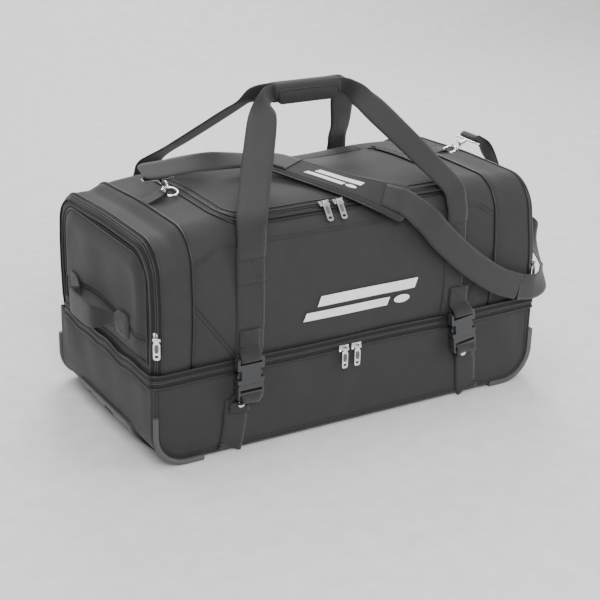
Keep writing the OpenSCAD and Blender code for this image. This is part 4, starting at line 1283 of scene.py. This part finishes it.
def pad_part():
    count, steps = 70, 32
    path, across, normal, up = pad_frame(count)
    t = np.linspace(-1, 1, count)
    end = np.sqrt(np.clip(1 - np.clip((np.abs(t) - 0.93) / 0.07, 0, 1) ** 2, 0, 1))
    half_w = 0.0325 * (0.72 + 0.28 * end)
    half_t = 0.0052 * (0.45 + 0.55 * end)
    angle = np.linspace(0, math.tau, steps, endpoint=False)
    c, s = np.cos(angle), np.sin(angle)
    a = np.sign(c) * np.abs(c) ** 0.45
    b = np.sign(s) * np.abs(s) ** 0.75
    ring = (path[:, None] + across[:, None] * (a[None, :, None] * half_w[:, None, None])
            + normal[:, None] * (b[None, :, None] * half_t[:, None, None]))
    faces = [tuple(f) for f in grid_faces(count, steps, False, True)]
    faces.append(tuple(range(steps))[::-1])
    faces.append(tuple((count - 1) * steps + k for k in range(steps)))
    along = travel(path)
    uv = np.stack(np.broadcast_arrays(along[:, None], angle[None, :] * 0.02), -1)
    return (ring.reshape(-1, 3), faces, uv.reshape(-1, 2)), path, across, up, half_w, half_t


def build_pad():
    part, path, across, up, half_w, half_t = pad_part()
    pad = place(join_meshes("shoulder_pad", [part]), "lid", CLOTH_PAD, ["strap_pad"])
    rims = []
    for s in (-1, 1):
        rims.append(tube_part(path + across * (half_w * s)[:, None], 0.0021, 8))
    place(join_meshes("shoulder_pad_piping", rims), "lid", PIPING)
    runs = []
    for k in (11, 58):
        line = path[k] + across[k] * np.linspace(-0.85, 0.85, 30)[:, None] * half_w[k]
        line = line + up[k] * (half_t[k] + 0.0002)
        runs.append((line, tuple(up[k])))
    for s in (-1, 1):
        line = path[10:59] + across[10:59] * 0.0245 * s + up[10:59] * (half_t[10:59] * 0.93)[:, None]
        runs.append((line, up[30]))
    stitches("shoulder_pad_stitches", "lid", runs, DARK_THREAD)


# ---- Grab handles, ring tabs, seams and the printed mark ----

GRAB_Z = 0.215
# Half of a grab handle: distance from the bag's middle, place across the end, and width
GRAB_HALF = [(0.3790, -0.0720, 0.014), (0.3815, -0.0670, 0.016), (0.3890, -0.0590, 0.024),
             (0.3990, -0.0520, 0.034), (0.4070, -0.0420, 0.040), (0.4098, -0.0220, 0.042),
             (0.4100, 0.0, 0.042)]
GRAB_DIAMOND = [(-0.106, 0), (-0.094, 0.016), (-0.082, 0), (-0.094, -0.016), (-0.106, 0)]


def build_grab_handles():
    for side, word in ((-1, "left"), (1, "right")):
        rows = np.array(GRAB_HALF + [(x, -y, w) for x, y, w in GRAB_HALF[-2::-1]])
        rows = smooth_path(rows, 90)
        path = np.stack([side * rows[:, 0], rows[:, 1], np.full(90, GRAB_Z)], 1)
        across = np.tile([0.0, 0, 1.0], (90, 1))
        shift = np.array([side * 0.0026, 0, 0])
        loop = [band_part(path, across, rows[:, 2], 0.0020),
                band_part((path - shift)[6:-6], across[6:-6], rows[6:-6, 2] * 0.94, 0.0020)]
        place(join_meshes(f"grab_loop_{word}", loop), f"{word}_grab", WEBBING,
              [f"{word}_grab_handle"])
        tabs, runs = [], []
        for end in (-1, 1):
            line = smooth_path([(0.3745, -0.1130, 0.040), (0.3765, -0.1080, 0.041), (0.3775, -0.0900, 0.041),
                                (0.3782, -0.0780, 0.034), (0.3788, -0.0690, 0.016)], 40)
            flat = np.stack([side * line[:, 0], end * line[:, 1], np.full(40, GRAB_Z)], 1)
            tabs.append(band_part(flat, np.tile([0.0, 0, 1.0], (40, 1)), line[:, 2], 0.0024))
            sides = list(zip(GRAB_DIAMOND, GRAB_DIAMOND[1:])) + [((-0.108, -0.018), (-0.108, 0.018))]
            for a, b in sides:
                t = np.linspace(0, 1, 12)[:, None]
                seam = np.array(a) + (np.array(b) - np.array(a)) * t
                run = np.stack([np.full(12, side * 0.3790), end * seam[:, 0], GRAB_Z + seam[:, 1]], 1)
                runs.append((run, (side, 0, 0)))
        place(join_meshes(f"grab_patches_{word}", tabs), f"{word}_flap", WEBBING,
              [f"{word}_grab_tabs"])
        stitches(f"grab_stitches_{word}", f"{word}_flap", runs, THREAD, radius=0.00036)


def build_ring_tabs():
    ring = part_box("d_rings")
    left_x, left_z = ring[0][0] + 0.002, 0.391
    left = [(-0.301, -0.018, 0.3790), (-0.290, -0.018, 0.3835), (left_x - 0.004, -0.018, 0.3905),
            (left_x, -0.018, left_z + 0.0034), (left_x + 0.0034, -0.018, left_z),
            (left_x, -0.018, left_z - 0.0034), (left_x - 0.006, -0.018, 0.3865), (-0.290, -0.018, 0.3810)]
    right = [(0.283, 0.022, 0.3780), (0.296, 0.022, 0.3810), (0.3060, 0.022, 0.3815), (0.3100, 0.022, 0.3800),
             (0.3130, 0.022, 0.3766), (0.3100, 0.022, 0.3734), (0.3040, 0.022, 0.3760), (0.292, 0.022, 0.3775)]
    bands = [straight_band(row, 0.024, 0.0016, (0, 1, 0), 70) for row in (left, right)]
    place(join_meshes("ring_tab_bands", bands), "upper", WEBBING, ["ring_tabs"])


def build_front_seams():
    runs = []
    for (x0, z0), (x1, z1) in FRONT_SEAMS:
        t = np.linspace(0.01, 0.99, 90)
        length = math.hypot(x1 - x0, z1 - z0)
        for offset in (-0.0032, 0.0032):
            dx, dz = -(z1 - z0) / length * offset, (x1 - x0) / length * offset
            line = np.array([front_point(x0 + (x1 - x0) * k + dx, z0 + (z1 - z0) * k + dz, 0.0004)
                             for k in t])
            runs.append((line, (0, -1, 0)))
    stitches("front_seam_stitches", "upper", runs, DARK_THREAD)


# Two slanted stripes: left and right ends as parts of the mark's length, low and high as parts of its height
STRIPES = [(-0.50, 0.28, 0.00, 0.36), (-0.42, 0.50, 0.56, 1.00)]


def mark_parts(surface, length, height):
    """The printed mark, two stripes and a disc; surface(u, v) gives a point u along and v up."""
    parts = []
    slant = 0.35 * height
    for left, right, low, high in STRIPES:
        span = (right - left) * length
        rows = np.array([[surface(left * length + slant * v + span * k, (v - 0.5) * height)
                          for v in np.linspace(low, high, 5)] for k in np.linspace(0, 1, 40)])
        parts.append((rows.reshape(-1, 3), grid_faces(40, 5), np.zeros((200, 2))))
    centre = (0.42 * length, -0.32 * height)
    wide, tall = 0.39 * height, 0.18 * height
    turn = np.linspace(0, math.tau, 36, endpoint=False)
    spokes = np.array([[surface(centre[0] + wide * r * math.cos(a), centre[1] + tall * r * math.sin(a))
                        for a in turn] for r in np.linspace(0.04, 1, 4)])
    parts.append((spokes.reshape(-1, 3), grid_faces(4, 36, False, True), np.zeros((144, 2))))
    return parts


def build_marks():
    def on_bag(u, v):
        return front_point(u - 0.003, 0.221 + v, 0.0022)
    front = join_meshes("front_mark", mark_parts(on_bag, 0.205, 0.040))
    place(front, "upper", PRINT)
    path, across, _, up = pad_frame(140)
    along = travel(path)
    middle = along[66]

    def on_pad_face(u, v):
        def at(values):
            return np.array([np.interp(middle + u, along, values[:, k]) for k in range(3)])
        return at(path) + at(across) * v + at(up) * 0.0059
    pad = join_meshes("shoulder_mark", mark_parts(on_pad_face, 0.098, 0.024))
    place(pad, "lid", PRINT)


dress_cad()
build_body_webbing()
build_lower_webbing()
build_pull_inserts()
build_handles()
build_strap()
build_pad()
build_grab_handles()
build_ring_tabs()
build_front_seams()
build_marks()

# ---- Floor and light ----

def soft_light(name, place_at, aim, size, power):
    data = bpy.data.lights.new(name, "AREA")
    data.shape = "DISK"
    data.size = size
    data.energy = power
    light = bpy.data.objects.new(name, data)
    light.location = place_at
    light.rotation_euler = (Vector(aim) - Vector(place_at)).to_track_quat("-Z", "Y").to_euler()
    bpy.context.scene.collection.objects.link(light)


def build_stage():
    floor = moulded_material("studio_floor", (0.80, 0.80, 0.80), 0.8, 0.00001)
    reach, back, rise = 6.0, 3.2, 4.5
    curve = [(-reach, 0), (back - 1, 0)]
    curve += [(back - 1 + math.sin(a), 1 - math.cos(a)) for a in np.linspace(0, math.pi / 2, 16)[1:]]
    curve += [(back, rise)]
    rows = np.array([[[x, y, z] for y, z in curve] for x in np.linspace(-reach, reach, 6)])
    ground = mesh_piece("studio_floor", rows.reshape(-1, 3), grid_faces(*rows.shape[:2]))
    ground.data.materials.append(floor)
    aim = (0, 0, 0.25)
    soft_light("key", (-1.3, -3.3, 2.7), aim, 2.0, 120)
    soft_light("fill", (3.0, -2.4, 1.5), aim, 2.4, 55)
    soft_light("top", (0.0, 0.4, 3.4), aim, 2.6, 60)
    soft_light("rim", (1.2, 2.4, 2.6), aim, 1.6, 60)
    world = bpy.data.worlds.new("studio")
    world.use_nodes = True
    world.node_tree.nodes["Background"].inputs["Color"].default_value = (1, 1, 1, 1)
    world.node_tree.nodes["Background"].inputs["Strength"].default_value = 0.55
    bpy.context.scene.world = world


build_stage()
